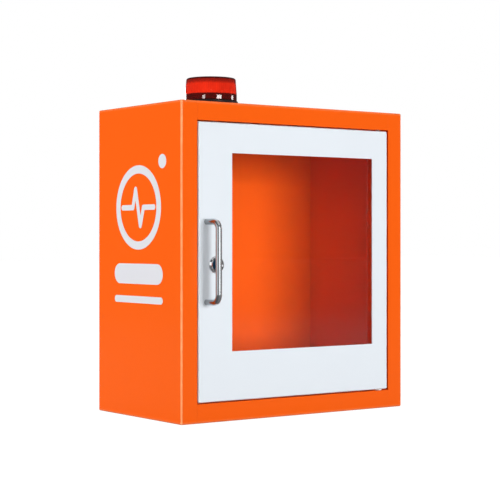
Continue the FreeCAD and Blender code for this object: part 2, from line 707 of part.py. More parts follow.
def lock_plug():
    """The part that the key turns, with its keyway and the square that drives the cam."""
    face, foot, tail = -LOCK_HEAD_H + PLUG_SINK, CAM_FRONT - FRONT, CAM_REAR - FRONT
    plug = rod((0, 0, face), (0, 0, 1), foot - face, PLUG_R)
    rim = [e for e in plug.Edges if abs(e.BoundBox.ZMax - face) < 1e-6]
    plug = plug.makeChamfer(0.4, rim)
    half_w, half_h, side = KEYWAY_W / 2, KEYWAY_H / 2, CAM_SQUARE / 2
    plug = plug.cut(block(-half_w, half_w, -half_h, half_h, face - 1, face + KEYWAY_DEEP))
    drive = block(-side, side, -side, side, foot, tail)
    plug = joined([plug, drive])
    hole = rod((0, 0, tail), (0, 0, -1), CAM_SCREW_L, CAM_SCREW_R)
    return at_lock(plug.cut(hole))


def lock_cam():
    """The arm that hooks behind the frame's lip. At rest it hangs down, which is unlocked."""
    z0, side = CAM_FRONT - FRONT, CAM_SQUARE / 2
    eye = rod((0, 0, z0), (0, 0, 1), CAM_T, CAM_W / 2)
    tip = CAM_W * 0.35
    reach = CAM_REACH - tip
    outline = [(-CAM_W / 2, 0), (CAM_W / 2, 0), (tip, reach), (-tip, reach), (-CAM_W / 2, 0)]
    arm = Part.Face(Part.makePolygon([V(x, y, z0) for x, y in outline])).extrude(V(0, 0, CAM_T))
    nose = rod((0, reach, z0), (0, 0, 1), CAM_T, tip)
    cam = joined([eye, arm, nose]).cut(block(-side, side, -side, side, z0 - 1, z0 + CAM_T + 1))
    return at_lock(cam)


def lock_cam_screw():
    screw = pan_screw(CAM_SCREW_R, CAM_SCREW_L - 1, CAM_SCREW_HEAD_R, CAM_SCREW_HEAD_T)
    return at_lock(placed(screw, (0, 0, CAM_REAR - FRONT)))


# ---- magnet catches --------------------------------------------------------------------------
CATCH_FRONT = DOOR_REAR + MAGNET_GAP + MAGNET_PROUD
CATCH_LEFT = DOOR_L + EASE
CATCH_MID_X = CATCH_LEFT + CATCH_W / 2
CATCH_BACK = CATCH_FRONT + CATCH_T
CATCH_SCREW_R = 1.5


def catch_bracket(z):
    """An angle welded to the left side, with the magnet's housing on its end."""
    low, high = z - CATCH_BRACKET_L / 2, z + CATCH_BRACKET_L / 2
    wall = LEFT + SHEET
    foot = block(wall, wall + CATCH_BRACKET_T, CATCH_BACK, CATCH_BACK + CATCH_FOOT, low, high)
    arm = block(wall, CATCH_LEFT + CATCH_W, CATCH_BACK, CATCH_BACK + CATCH_BRACKET_T, low, high)
    hole = rod((CATCH_MID_X, CATCH_BACK - 1, z), (0, 1, 0), CATCH_BRACKET_T + 2, CATCH_SCREW_R)
    return joined([foot, arm]).cut(hole)


def magnet_pocket(z):
    back = CATCH_FRONT - MAGNET_PROUD + MAGNET_T
    x0, x1 = CATCH_MID_X - MAGNET_W / 2, CATCH_MID_X + MAGNET_W / 2
    return block(x0, x1, CATCH_FRONT - MAGNET_PROUD, back, z - MAGNET_L / 2, z + MAGNET_L / 2)


def catch_housing(z):
    low, high = z - CATCH_L / 2, z + CATCH_L / 2
    housing = block(CATCH_LEFT, CATCH_LEFT + CATCH_W, CATCH_FRONT, CATCH_BACK, low, high)
    long_edges = [e for e in housing.Edges if e.BoundBox.YLength > CATCH_T / 2]
    housing = housing.makeFillet(2.0, long_edges).cut(magnet_pocket(z))
    return housing.cut(rod((CATCH_MID_X, CATCH_BACK, z), (0, -1, 0), catch_thread(), CATCH_SCREW_R))


def catch_thread():
    """Depth of the screw hole, which stops short of the magnet."""
    return CATCH_T + MAGNET_PROUD - MAGNET_T - 1


def catch_screws():
    screw = pan_screw(CATCH_SCREW_R, CATCH_BRACKET_T + catch_thread() - 0.5, 3.0, 1.8)
    y = CATCH_BACK + CATCH_BRACKET_T
    return group([placed(screw, (CATCH_MID_X, y, z), (0, 1, 0)) for z in catch_heights().values()])


def catch_heights():
    return {"upper": DOOR_MID + CATCH_RISE, "lower": DOOR_MID - CATCH_RISE}


# ---- door switch -----------------------------------------------------------------------------
PLUNGER_TIP = DOOR_REAR + PLUNGER_GAP
PLUNGER_SEAT = BARREL_FRONT + 2.0  # front of the plunger's head when it is fully out
BRACKET_FACE = BARREL_FRONT + 6.0 + SWITCH_FLANGE_T


def at_switch(shape, y):
    """A shape built along +Z, set on the plunger's axis with +Z running into the cabinet."""
    return placed(shape, (SWITCH_X, y, SWITCH_Z), (0, 1, 0))


def switch_bracket():
    """An angle welded under the roof, which holds the door switch."""
    half, face = SWITCH_BRACKET_W / 2, BRACKET_FACE
    t = SWITCH_BRACKET_T
    foot = block(SWITCH_X - half, SWITCH_X + half, face, face + SWITCH_BRACKET_FOOT, CEILING - t, CEILING)
    drop = block(SWITCH_X - half, SWITCH_X + half, face, face + t, SWITCH_Z - SWITCH_FLANGE_R - 1.5, CEILING)
    return joined([foot, drop]).cut(at_switch(rod((0, 0, -1), (0, 0, 1), t + 2, SWITCH_BARREL_R), face))


def switch_body():
    """The switch's threaded barrel, its flange and its two terminals."""
    barrel = rod((0, 0, 0), (0, 0, 1), SWITCH_BARREL_L, SWITCH_BARREL_R)
    flange_at = BRACKET_FACE - SWITCH_FLANGE_T - BARREL_FRONT
    flange = rod((0, 0, flange_at), (0, 0, 1), SWITCH_FLANGE_T, SWITCH_FLANGE_R)
    body = joined([barrel, flange])
    body = body.cut(rod((0, 0, -1), (0, 0, 1), 3.5, PLUNGER_R + RUN))
    seat = PLUNGER_SEAT - BARREL_FRONT
    body = body.cut(rod((0, 0, seat), (0, 0, 1), switch_chamber(), PLUNGER_HEAD_R + RUN))
    start, end = SWITCH_BARREL_L, SWITCH_BARREL_L + SWITCH_TERMINAL_L
    lugs = [block(x - 0.4, x + 0.4, -1.6, 1.6, start, end) for x in (-2, 2)]
    return at_switch(joined([body] + lugs), BARREL_FRONT)


def switch_chamber():
    """Length of the chamber behind the seat: the plunger's head, its travel and the spring."""
    return SWITCH_BARREL_L - (PLUNGER_SEAT - BARREL_FRONT) - 2.0


def switch_nut():
    nut = hex_nut(SWITCH_NUT_AF, SWITCH_NUT_T, SWITCH_BARREL_R)
    return at_switch(nut, BRACKET_FACE + SWITCH_BRACKET_T)


def switch_plunger():
    """The plunger, held in by the shut door. It comes out by its travel when the door opens."""
    head = PLUNGER_SEAT + PLUNGER_TRAVEL + 0.2 - PLUNGER_TIP
    end = head + PLUNGER_HEAD_L
    stem = turned([(0, 0), (PLUNGER_R - 1.0, 0), (PLUNGER_R - 0.3, 0.4), (PLUNGER_R, 1.2), (PLUNGER_R, head),
                   (PLUNGER_HEAD_R, head), (PLUNGER_HEAD_R, end), (0, end)])
    return at_switch(stem, PLUNGER_TIP)


def switch_spring():
    start = PLUNGER_SEAT + PLUNGER_TRAVEL + 0.2 + PLUNGER_HEAD_L
    end = PLUNGER_SEAT + switch_chamber()
    spring = coil_spring(PLUNGER_HEAD_R - 1.0, 0.3, end - start - 0.1, 5)
    return at_switch(spring, start + 0.05)


# ---- beacon ----------------------------------------------------------------------------------
def on_beacon(shape, z):
    return placed(shape, (BEACON_X, BEACON_Y, z))


def beacon_gasket():
    ring = washer(BASE_R - 1.0, BASE_R - 7.0, GASKET_T)
    return on_beacon(ring, ROOF)


def beacon_base():
    """The black base: an open drum with a floor, a collar for the lens and three lugs."""
    up, hollow = BASE_H + COLLAR_UP, COLLAR_OUT_R - COLLAR_WALL
    drum = turned([
        (0, 0), (BASE_R, 0), (BASE_R, BASE_H - 1.2), (BASE_R - 1.2, BASE_H), (COLLAR_OUT_R, BASE_H),
        (COLLAR_OUT_R, up), (hollow, up), (hollow, BASE_FLOOR), (0, BASE_FLOOR),
    ])
    lugs = [sector(COLLAR_OUT_R - 0.5, COLLAR_OUT_R + LUG_T, lug_foot(), lug_foot() + LUG_H, a, LUG_SWEEP)
            for a in lug_angles()]
    bosses = [rod((s * BEACON_STUD_DX / 2, 0, 0), (0, 0, 1), BASE_H - 1, BEACON_BOSS_R) for s in (-1, 1)]
    posts = [rod((x, y, 0), (0, 0, 1), board_foot(), BEACON_POST_R) for x, y in board_post_places()]
    base = joined([drum] + lugs + bosses + posts)
    base = base.cut(rod((0, 0, -1), (0, 0, 1), BASE_FLOOR + 2, CABLE_BORE_R))
    for s in (-1, 1):
        base = base.cut(rod((s * BEACON_STUD_DX / 2, 0, -1), (0, 0, 1), BASE_H - 2, BEACON_STUD_R))
    return on_beacon(base, BASE_BOTTOM)


def lug_angles():
    return [90 + k * 360 / LUG_COUNT for k in range(LUG_COUNT)]


def lug_foot():
    """Foot of the base's lugs above the base's bottom. The lens's tabs lie just below."""
    return BASE_H + LUG_H + 2 * EASE


def board_foot():
    return BASE_H + 1.0


def board_post_places():
    reach = BEACON_BOARD_R - 4
    return [(reach * math.cos(math.radians(a)), reach * math.sin(math.radians(a))) for a in lug_angles()]


def beacon_studs():
    """Two studs, moulded into the base, that hold the beacon on the roof."""
    top = BASE_BOTTOM + BASE_H - 3
    return group([rod((x, y, top - BEACON_STUD_L), (0, 0, 1), BEACON_STUD_L, BEACON_STUD_R)
                  for x, y in beacon_stud_places()])


def beacon_nuts():
    nut = hex_nut(BEACON_NUT_AF, BEACON_NUT_T, BEACON_STUD_R)
    return group([placed(nut, (x, y, CEILING), (0, 0, -1)) for x, y in beacon_stud_places()])


def beacon_board():
    board = washer(BEACON_BOARD_R, CABLE_BORE_R, BEACON_BOARD_T)
    return on_beacon(board, BASE_BOTTOM + board_foot())


def beacon_tower():
    """The hexagonal lamp post in the middle of the beacon, which carries the upper lamps."""
    post = hexagon(2 * TOWER_R * math.cos(math.pi / 6), TOWER_H)
    top = [e for e in post.Edges if e.BoundBox.ZMin > TOWER_H - 1e-6]
    post = post.makeChamfer(0.8, top)
    return on_beacon(post, BASE_BOTTOM + board_foot() + BEACON_BOARD_T)


def lamp():
    """One light-emitting diode, standing on the board."""
    body = rod((0, 0, 0), (0, 0, 1), LAMP_H - LAMP_R, LAMP_R)
    dome = Part.makeSphere(LAMP_R, V(0, 0, LAMP_H - LAMP_R))
    rim = rod((0, 0, 0), (0, 0, 1), 1.0, LAMP_R + 0.4)
    return joined([body, dome, rim])


def beacon_lamps():
    foot = BASE_BOTTOM + board_foot() + BEACON_BOARD_T
    lamps = []
    for k in range(LAMP_COUNT):
        a = math.radians((k + 0.5) * 360 / LAMP_COUNT)
        x, y = BEACON_X + LAMP_RING_R * math.cos(a), BEACON_Y + LAMP_RING_R * math.sin(a)
        lamps.append(placed(lamp(), (x, y, foot)))
    return group(lamps)


def beacon_lens():
    """The red lens. Three tabs inside its skirt pass under the base's lugs, and it twists off."""
    outer = turned([(0, 0), (LENS_R, 0), (LENS_R, LENS_SKIRT_H), (LENS_TOP_R, LENS_H), (0, LENS_H)])
    crown = [e for e in outer.Edges if e.BoundBox.ZMin > LENS_H - 1e-6 and e.BoundBox.XLength > LENS_R]
    outer = outer.makeFillet(LENS_CROWN, crown)
    w = LENS_WALL
    inner = turned([(0, -1), (LENS_R - w, -1), (LENS_R - w, LENS_SKIRT_H), (LENS_TOP_R - w, LENS_H - w),
                    (0, LENS_H - w)])
    tab_r = COLLAR_OUT_R + EASE
    tabs = [sector(tab_r, LENS_R - w + 0.5, 0, LUG_H, a, TAB_SWEEP) for a in lug_angles()]
    return on_beacon(joined([outer.cut(inner)] + tabs), SHOULDER + EASE)


def cable_grommet():
    """A rubber grommet in the roof, which the beacon's leads pass through."""
    lip_r = CABLE_HOLE_R + GROMMET_FLANGE
    ring = turned([
        (CABLE_BORE_R, -GROMMET_T), (lip_r, -GROMMET_T), (lip_r, 0), (CABLE_HOLE_R, 0), (CABLE_HOLE_R, SHEET),
        (lip_r, SHEET), (lip_r, SHEET + GROMMET_T), (CABLE_BORE_R, SHEET + GROMMET_T),
    ])
    return on_beacon(ring, CEILING)


# ---- alarm unit ------------------------------------------------------------------------------
CELL_ZONE_INSET = 2.0
CELL_PITCH = 2 * CELL_R + CELL_GAP
CELL_ZONE_W = CELL_COUNT * CELL_PITCH + 2 * TRAY_WALL
CELL_ZONE_D = CELL_L + CELL_BUTTON_H + 8.0
CELL_R_SIDE = ALARM_R - ALARM_WALL - CELL_ZONE_INSET
CELL_L_SIDE = CELL_R_SIDE - CELL_ZONE_W
CELL_F_SIDE = (ALARM_F + ALARM_B - CELL_ZONE_D) / 2
CELL_B_SIDE = CELL_F_SIDE + CELL_ZONE_D
TRAY_TOP = ALARM_BOTTOM + 2 * CELL_R + TRAY_WALL + 0.6
WORK_MID_X = (ALARM_L + CELL_L_SIDE) / 2
SIREN_Y = ALARM_B - ALARM_WALL - SIREN_R - 5.0
BOARD_Y = ALARM_B - ALARM_WALL - ALARM_BOARD_D / 2 - 4.0


def alarm_corner_places(inset):
    return [(x, y) for x in (ALARM_L + inset, ALARM_R - inset) for y in (ALARM_F + inset, ALARM_B - inset)]


def alarm_housing():
    """The unit's casing, open below, with posts for the cover's screws and a snap-in switch hole."""
    case = block(ALARM_L, ALARM_R, ALARM_F, ALARM_B, ALARM_BOTTOM, ALARM_TOP)
    case = case.makeFillet(3.0, [e for e in case.Edges if e.BoundBox.ZLength > ALARM_H / 2])
    w = ALARM_WALL
    room = block(ALARM_L + w, ALARM_R - w, ALARM_F + w, ALARM_B - w, ALARM_BOTTOM - 1, ALARM_TOP - w)
    case = case.cut(room.makeFillet(1.0, [e for e in room.Edges if e.BoundBox.ZLength > ALARM_H / 2]))
    posts = [rod((x, y, ALARM_BOTTOM), (0, 0, 1), ALARM_H - w, ALARM_POST_R) for x, y in cover_screw_places()]
    posts += [rod((x, y, ALARM_TOP - ALARM_BOARD_DOWN), (0, 0, 1), ALARM_BOARD_DOWN - w, 2.0)
              for x, y in alarm_board_post_places()]
    case = joined([case] + posts)
    for x, y in cover_screw_places():
        case = case.cut(rod((x, y, ALARM_BOTTOM), (0, 0, 1), COVER_SCREW_L, COVER_SCREW_R))
    for x, y in alarm_corner_places(ALARM_STUD_INSET):
        case = case.cut(rod((x, y, ALARM_TOP - w - 1), (0, 0, 1), w + 2, ALARM_STUD_R + EASE))
    half_w, half_d = ALARM_WINDOW_W / 2, ALARM_WINDOW_D / 2
    case = case.cut(block(BEACON_X - half_w, BEACON_X + half_w, BEACON_Y - half_d, BEACON_Y + half_d,
                          ALARM_TOP - w - 1, ALARM_TOP + 1))
    x, z = rocker_place()
    return case.cut(block(x - ROCKER_W / 2, x + ROCKER_W / 2, ALARM_F - 1, ALARM_F + w + 1,
                          z - ROCKER_H / 2, z + ROCKER_H / 2))


def cover_screw_places():
    inset = ALARM_WALL + ALARM_POST_R - 0.6
    middle = (ALARM_F + ALARM_B) / 2
    hatch_left = hatch_edges()[0]
    beside_cells = hatch_left - COVER_SCREW_HEAD_R - 2 * EASE
    return [(ALARM_L + inset, middle - 18), (ALARM_L + inset, middle + 18),
            (beside_cells, ALARM_F + inset), (beside_cells, ALARM_B - inset)]


def alarm_studs():
    """Studs welded under the roof for the alarm unit."""
    return group([rod((x, y, CEILING), (0, 0, -1), ALARM_STUD_L, ALARM_STUD_R)
                  for x, y in alarm_corner_places(ALARM_STUD_INSET)])


def alarm_nuts():
    nut = hex_nut(ALARM_NUT_AF, ALARM_NUT_T, ALARM_STUD_R)
    return group([placed(nut, (x, y, ALARM_TOP - ALARM_WALL), (0, 0, -1))
                  for x, y in alarm_corner_places(ALARM_STUD_INSET)])


def hatch_edges():
    """The battery hatch's left, right, front and rear."""
    return (CELL_L_SIDE + TRAY_WALL - HATCH_LAP, CELL_R_SIDE - TRAY_WALL + HATCH_LAP - 1.0,
            CELL_F_SIDE + TRAY_WALL - HATCH_LAP, CELL_B_SIDE - TRAY_WALL + HATCH_LAP)


def alarm_cover():
    """The unit's bottom, with sound slots, the battery opening and two rails for the hatch."""
    cover = block(ALARM_L, ALARM_R, ALARM_F, ALARM_B, COVER_BOTTOM, ALARM_BOTTOM)
    cover = cover.makeFillet(3.0, [e for e in cover.Edges if e.BoundBox.ZLength > ALARM_COVER_T / 2])
    cover = cover.cut(block(CELL_L_SIDE + TRAY_WALL, CELL_R_SIDE - TRAY_WALL, CELL_F_SIDE + TRAY_WALL,
                            CELL_B_SIDE - TRAY_WALL, COVER_BOTTOM - 1, ALARM_BOTTOM + 1))
    for k in range(SIREN_SLOTS):
        y = SIREN_Y + (k - (SIREN_SLOTS - 1) / 2) * SIREN_SLOT_PITCH
        half = math.sqrt((SIREN_R - 3) ** 2 - (y - SIREN_Y) ** 2)
        front, rear = y - SIREN_SLOT_W / 2, y + SIREN_SLOT_W / 2
        slot = block(WORK_MID_X - half, WORK_MID_X + half, front, rear, COVER_BOTTOM - 1, ALARM_BOTTOM + 1)
        cover = cover.cut(slot)
    for x, y in cover_screw_places():
        cover = cover.cut(rod((x, y, COVER_BOTTOM - 1), (0, 0, 1), ALARM_COVER_T + 2, COVER_SCREW_R + EASE))
    left, right, front, rear = hatch_edges()
    rails = []
    for edge, out in ((left, -1), (right, 1)):
        near, far = edge + out * HATCH_SLIP, edge + out * (HATCH_SLIP + HATCH_RAIL)
        foot = COVER_BOTTOM - HATCH_T - 2 * HATCH_SLIP - 1.0
        rails.append(block(min(near, far), max(near, far), front, rear, foot, COVER_BOTTOM))
        tip = edge - out * 1.6
        rails.append(block(min(tip, far), max(tip, far), front, rear, foot, foot + 1.0))
    return joined([cover] + rails)


def cover_screws():
    length = ALARM_COVER_T + COVER_SCREW_L - 1
    screw = pan_screw(COVER_SCREW_R, length, COVER_SCREW_HEAD_R, COVER_SCREW_HEAD_T)
    return group([placed(screw, (x, y, COVER_BOTTOM), (0, 0, -1)) for x, y in cover_screw_places()])


def battery_hatch():
    """The hatch that slides forwards off the cells, with a ribbed thumb pad."""
    left, right, front, rear = hatch_edges()
    top = COVER_BOTTOM - HATCH_SLIP
    face = top - HATCH_T
    mid = (left + right) / 2
    first = front + 8
    ribs = [block(mid - 9, mid + 9, first + 3 * k, first + 3 * k + 1.2, face - 0.8, face) for k in range(4)]
    return joined([block(left, right, front, rear, face, top)] + ribs)


def battery_tray():
    """The open-bottomed tray that holds the cells."""
    tray = block(CELL_L_SIDE, CELL_R_SIDE, CELL_F_SIDE, CELL_B_SIDE, ALARM_BOTTOM, TRAY_TOP)
    t = TRAY_WALL
    return tray.cut(block(CELL_L_SIDE + t, CELL_R_SIDE - t, CELL_F_SIDE + t, CELL_B_SIDE - t,
                          ALARM_BOTTOM - 1, TRAY_TOP - t))


def cell_places():
    """Each cell's centre, and +1 or -1 for the way its button points."""
    first = CELL_L_SIDE + TRAY_WALL + CELL_PITCH / 2
    z = ALARM_BOTTOM + CELL_R + EASE
    return [(first + k * CELL_PITCH, z, 1 if k % 2 == 0 else -1) for k in range(CELL_COUNT)]


def battery_cells():
    mid = (CELL_F_SIDE + CELL_B_SIDE) / 2
    cells = []
    for x, z, way in cell_places():
        can = rod((0, 0, 0), (0, 0, 1), CELL_L, CELL_R)
        can = can.makeFillet(0.8, [e for e in can.Edges if e.BoundBox.ZLength < 1e-6])
        cell = joined([can, rod((0, 0, CELL_L - 0.5), (0, 0, 1), CELL_BUTTON_H + 0.5, CELL_BUTTON_R)])
        cells.append(placed(cell, (x, mid - way * (CELL_L + CELL_BUTTON_H) / 2, z), (0, way, 0)))
    return group(cells)


def battery_contacts():
    """A flat contact at each cell's button, and a folded leaf at its other end."""
    middle = (CELL_F_SIDE + CELL_B_SIDE) / 2
    to_wall = CELL_ZONE_D / 2 - TRAY_WALL
    room = to_wall - (CELL_L + CELL_BUTTON_H) / 2  # between each end of a cell and the tray's wall
    half, t = CONTACT_W / 2, CONTACT_T
    plate = joined([
        block(-half, half, -half, half, 0, t),
        rod((0, 0, 0), (0, 0, 1), room, CELL_BUTTON_R),
    ])
    # the leaf's outline: up the wall, over the fold, out to the cell and back from it
    fold, nose = half - 1.5 * t, half / 4
    outline = [(-half, 0), (half, 0), (nose, room), (-nose, room), (nose - half, room / 2),
               (nose - half + t, room / 2 - t), (-nose, room - t), (nose - t / 2, room - t), (fold, t),
               (-half, t), (-half, 0)]
    side = Part.Face(Part.makePolygon([V(-LEAF_W / 2, y, z) for y, z in outline]))
    leaf = side.extrude(V(LEAF_W, 0, 0))
    parts = []
    for x, z, way in cell_places():
        parts.append(placed(plate, (x, middle + way * to_wall, z), (0, -way, 0)))
        parts.append(placed(leaf, (x, middle - way * to_wall, z), (0, way, 0)))
    return group(parts)


def alarm_board():
    """The alarm's circuit board with its chip, capacitors and terminal block, each its own solid."""
    z = ALARM_TOP - ALARM_BOARD_DOWN
    x0, x1 = WORK_MID_X - ALARM_BOARD_W / 2, WORK_MID_X + ALARM_BOARD_W / 2
    y0, y1 = BOARD_Y - ALARM_BOARD_D / 2, BOARD_Y + ALARM_BOARD_D / 2
    board = block(x0, x1, y0, y1, z - ALARM_BOARD_T, z)
    chip = block(WORK_MID_X - 5, WORK_MID_X + 5, BOARD_Y - 4, BOARD_Y + 4, z, z + 2)
    cans = [rod((x0 + 6 + 8 * k, y0 + 6, z), (0, 0, 1), 7.0, 2.6) for k in range(2)]
    terminal = block(x1 - 20, x1 - 6, y0 + 1, y0 + 8, z, z + 8)
    return group([board, chip, terminal] + cans)


def alarm_board_post_places():
    dx, dy = ALARM_BOARD_W / 2 - 2.5, ALARM_BOARD_D / 2 - 2.5
    return [(WORK_MID_X + sx * dx, BOARD_Y + sy * dy) for sx in (-1, 1) for sy in (-1, 1)]


def siren():
    """A round sounder behind the cover's slots."""
    body = rod((WORK_MID_X, SIREN_Y, ALARM_BOTTOM), (0, 0, 1), SIREN_H, SIREN_R)
    body = body.makeFillet(1.0, [e for e in body.Edges if e.BoundBox.ZMin > ALARM_BOTTOM + SIREN_H - 1e-6])
    mouth = rod((WORK_MID_X, SIREN_Y, ALARM_BOTTOM), (0, 0, 1), 2.0, SIREN_R - 2.5)
    return body.cut(mouth)


def rocker_place():
    return ALARM_L + ROCKER_FROM_LEFT, (ALARM_TOP + ALARM_BOTTOM) / 2


def rocker_frame():
    """The snap-in body of the arming switch."""
    x, z = rocker_place()
    w, h, f, t = ROCKER_W / 2, ROCKER_H / 2, ROCKER_FRAME, ROCKER_WALL
    rear = ALARM_F + ROCKER_BODY_D
    bezel = block(x - w - f, x + w + f, ALARM_F - ROCKER_BEZEL_T, ALARM_F, z - h - f, z + h + f)
    body = block(x - w, x + w, ALARM_F, rear, z - h, z + h)
    well = block(x - w + t, x + w - t, ALARM_F - ROCKER_BEZEL_T - 1, rear - 1.5, z - h + t, z + h - t)
    y = rocker_axis()[0]
    pins = [rod((x + s * (w - t), y, z), (-s, 0, 0), 1.0, ROCKER_AXLE_R - RUN) for s in (-1, 1)]
    lugs = [block(x - 2.4, x + 2.4, rear, rear + 6, z + s * 5 - 0.4, z + s * 5 + 0.4) for s in (-1, 1)]
    return joined([joined([bezel, body]).cut(well)] + pins + lugs)


def rocker_axis():
    _, z = rocker_place()
    return ALARM_F + 2, z


def arm_rocker():
    """The rocker, shown switched on. It turns by its throw about the two pins in its frame."""
    x, _ = rocker_place()
    y, z = rocker_axis()
    w, h = ROCKER_W / 2 - ROCKER_WALL - EASE, ROCKER_H / 2 - ROCKER_WALL - 0.8
    crest = -ROCKER_BEZEL_T - 0.6 - h * math.tan(math.radians(ROCKER_THROW / 2))
    outline = [(crest, -h), (-3.4, 0), (crest, h), (2.4, 0.8 * h), (2.4, -0.8 * h), (crest, -h)]
    key = Part.Face(Part.makePolygon([V(0, py, pz) for py, pz in outline])).extrude(V(2 * w, 0, 0))
    key.translate(V(-w, 0, 0))
    key = key.cut(rod((-w - 1, 0, 0), (1, 0, 0), 2 * w + 2, ROCKER_AXLE_R))
    key.rotate(V(0, 0, 0), V(1, 0, 0), -ROCKER_THROW / 2)
    key.translate(V(x, y, z))
    return key


# ---- build and save --------------------------------------------------------------------------
def build():
    sheet = cabinet_sheet()
    nodes = {
        "body_wrap": body_wrap(sheet),
        "top_panel": top_panel(sheet),
        "bottom_panel": bottom_panel(sheet),
        "upper_hinge_bush": hinge_bush(OPEN_T, 1, SHEET),
        "lower_hinge_bush": hinge_bush(OPEN_B, -1, -BUSH_FLANGE_T),
        "left_marking": side_marking(-1),
        "right_marking": side_marking(1),
        "catch_screws": catch_screws(),
        "switch_bracket": switch_bracket(),
        "switch_body": switch_body(),
        "switch_nut": switch_nut(),
        "switch_plunger": switch_plunger(),
        "switch_spring": switch_spring(),
        "beacon_gasket": beacon_gasket(),
        "beacon_base": beacon_base(),
        "beacon_studs": beacon_studs(),
        "beacon_nuts": beacon_nuts(),
        "beacon_board": beacon_board(),
        "beacon_tower": beacon_tower(),
        "beacon_lamps": beacon_lamps(),
        "beacon_lens": beacon_lens(),
        "cable_grommet": cable_grommet(),
        "alarm_housing": alarm_housing(),
        "alarm_studs": alarm_studs(),
        "alarm_nuts": alarm_nuts(),
        "alarm_cover": alarm_cover(),
        "cover_screws": cover_screws(),
        "battery_hatch": battery_hatch(),
        "battery_tray": battery_tray(),
        "battery_cells": battery_cells(),
        "battery_contacts": battery_contacts(),
        "alarm_board": alarm_board(),
        "siren": siren(),
        "rocker_frame": rocker_frame(),
        "arm_rocker": arm_rocker(),
        "door_panel": door_panel(),
        "window_tape": window_tape(),
        "window_pane": window_pane(),
        "pane_clips": on_clip_places(pane_clip()),
        "clip_studs": on_clip_places(clip_stud()),
        "clip_nuts": on_clip_places(clip_nut()),
        "hinge_plate": hinge_plate(),
        "lower_hinge_pin": lower_hinge_pin(),
        "hinge_bracket": hinge_bracket(),
        "upper_hinge_pin": upper_hinge_pin(),
        "upper_hinge_spring": upper_hinge_spring(),
        "door_handle": door_handle(),
        "handle_washers": handle_washers(),
        "handle_screws": handle_screws(),
        "lock_housing": lock_housing(),
        "lock_nut": lock_nut(),
        "lock_plug": lock_plug(),
        "lock_cam": lock_cam(),
        "lock_cam_screw": lock_cam_screw(),
    }
    for name, z in catch_heights().items():
        nodes[f"{name}_catch_bracket"] = catch_bracket(z)
        nodes[f"{name}_catch_housing"] = catch_housing(z)
        nodes[f"{name}_catch_magnet"] = magnet_pocket(z)
    return nodes


def save(nodes):
    os.makedirs("parts", exist_ok=True)
    for name, shape in nodes.items():
        shape.exportStep(f"parts/{name}.step")
        solids = shape.Solids
        sound = shape.isValid() and all(s.isClosed() for s in solids)
        volume = sum(s.Volume for s in solids)
        print(f"{name}: {len(solids)} solids, {volume:.1f} mm3, {'sound' if sound else 'NOT SOUND'}")
    print(f"{len(nodes)} nodes; the door can swing {SWING_LIMIT:.1f} degrees")


save(build())
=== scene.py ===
# %% [markdown]
# # A wall cabinet for a defibrillator
# The real cabinet is a box of folded sheet steel, powder coated orange, with a white door, an acrylic
# window, a steel handle, a cam lock and a red beacon on its roof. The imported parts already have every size
# and place. This lesson gives each of them its finish, rebuilds the pieces that need a finer shape, and
# lights the whole.

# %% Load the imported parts
import json
import math

import bmesh
import bpy
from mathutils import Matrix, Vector


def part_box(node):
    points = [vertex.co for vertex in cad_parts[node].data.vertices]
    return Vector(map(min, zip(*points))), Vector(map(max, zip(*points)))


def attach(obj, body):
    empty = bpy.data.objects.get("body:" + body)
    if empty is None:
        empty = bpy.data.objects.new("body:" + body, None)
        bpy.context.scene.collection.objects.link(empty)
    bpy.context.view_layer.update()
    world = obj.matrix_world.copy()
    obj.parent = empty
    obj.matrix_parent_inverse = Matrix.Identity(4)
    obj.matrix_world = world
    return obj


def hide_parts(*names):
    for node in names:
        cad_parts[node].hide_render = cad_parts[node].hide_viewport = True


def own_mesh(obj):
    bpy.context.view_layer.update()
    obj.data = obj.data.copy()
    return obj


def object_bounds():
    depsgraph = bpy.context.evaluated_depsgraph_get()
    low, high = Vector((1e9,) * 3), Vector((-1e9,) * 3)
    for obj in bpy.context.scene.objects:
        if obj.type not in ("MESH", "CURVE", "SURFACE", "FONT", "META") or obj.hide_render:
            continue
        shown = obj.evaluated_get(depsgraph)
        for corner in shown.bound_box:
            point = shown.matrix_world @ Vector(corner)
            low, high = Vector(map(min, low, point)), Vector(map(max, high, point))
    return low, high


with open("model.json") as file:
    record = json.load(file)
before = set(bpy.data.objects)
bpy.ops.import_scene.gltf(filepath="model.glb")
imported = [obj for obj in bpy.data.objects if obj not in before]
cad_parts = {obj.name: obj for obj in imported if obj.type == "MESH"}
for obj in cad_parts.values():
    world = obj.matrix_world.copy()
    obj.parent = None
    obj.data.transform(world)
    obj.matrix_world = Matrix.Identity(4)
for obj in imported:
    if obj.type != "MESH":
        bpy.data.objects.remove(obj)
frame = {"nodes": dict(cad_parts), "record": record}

CAD_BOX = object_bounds()
MM = 0.001
nodes, record = frame["nodes"], frame["record"]

# %% [markdown]
# ## The studio
# Cabinets of this kind are shown on pure white, nearly level with the lens and from the left. A backdrop
# that is white only for what the camera sees, and dim for what lights the scene, keeps the page white
# without washing the paint out. It could also be a white wall with its own lamps, but that wall would light
# the cabinet from behind.

# %% Measure the cabinet
body_low, body_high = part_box("body_wrap")
CENTRE = (body_low + body_high) / 2
FLOOR_Z = CAD_BOX[0].z
print("centre:", [round(v, 4) for v in CENTRE], "floor:", round(FLOOR_Z, 4))

# %% Place the camera
VIEW_TURN = math.radians(36.02)  # to the left of straight in front
VIEW_DISTANCE = 2.0208
VIEW_HEIGHT = 0.0283  # above the cabinet's middle
VIEW_ASIDE = -0.0025
LENS_LENGTH = 107.7  # of the camera, in its own millimetres
SENSOR_WIDTH = 36
SHIFT_UP = -0.0215  # of the picture, as a share of its width

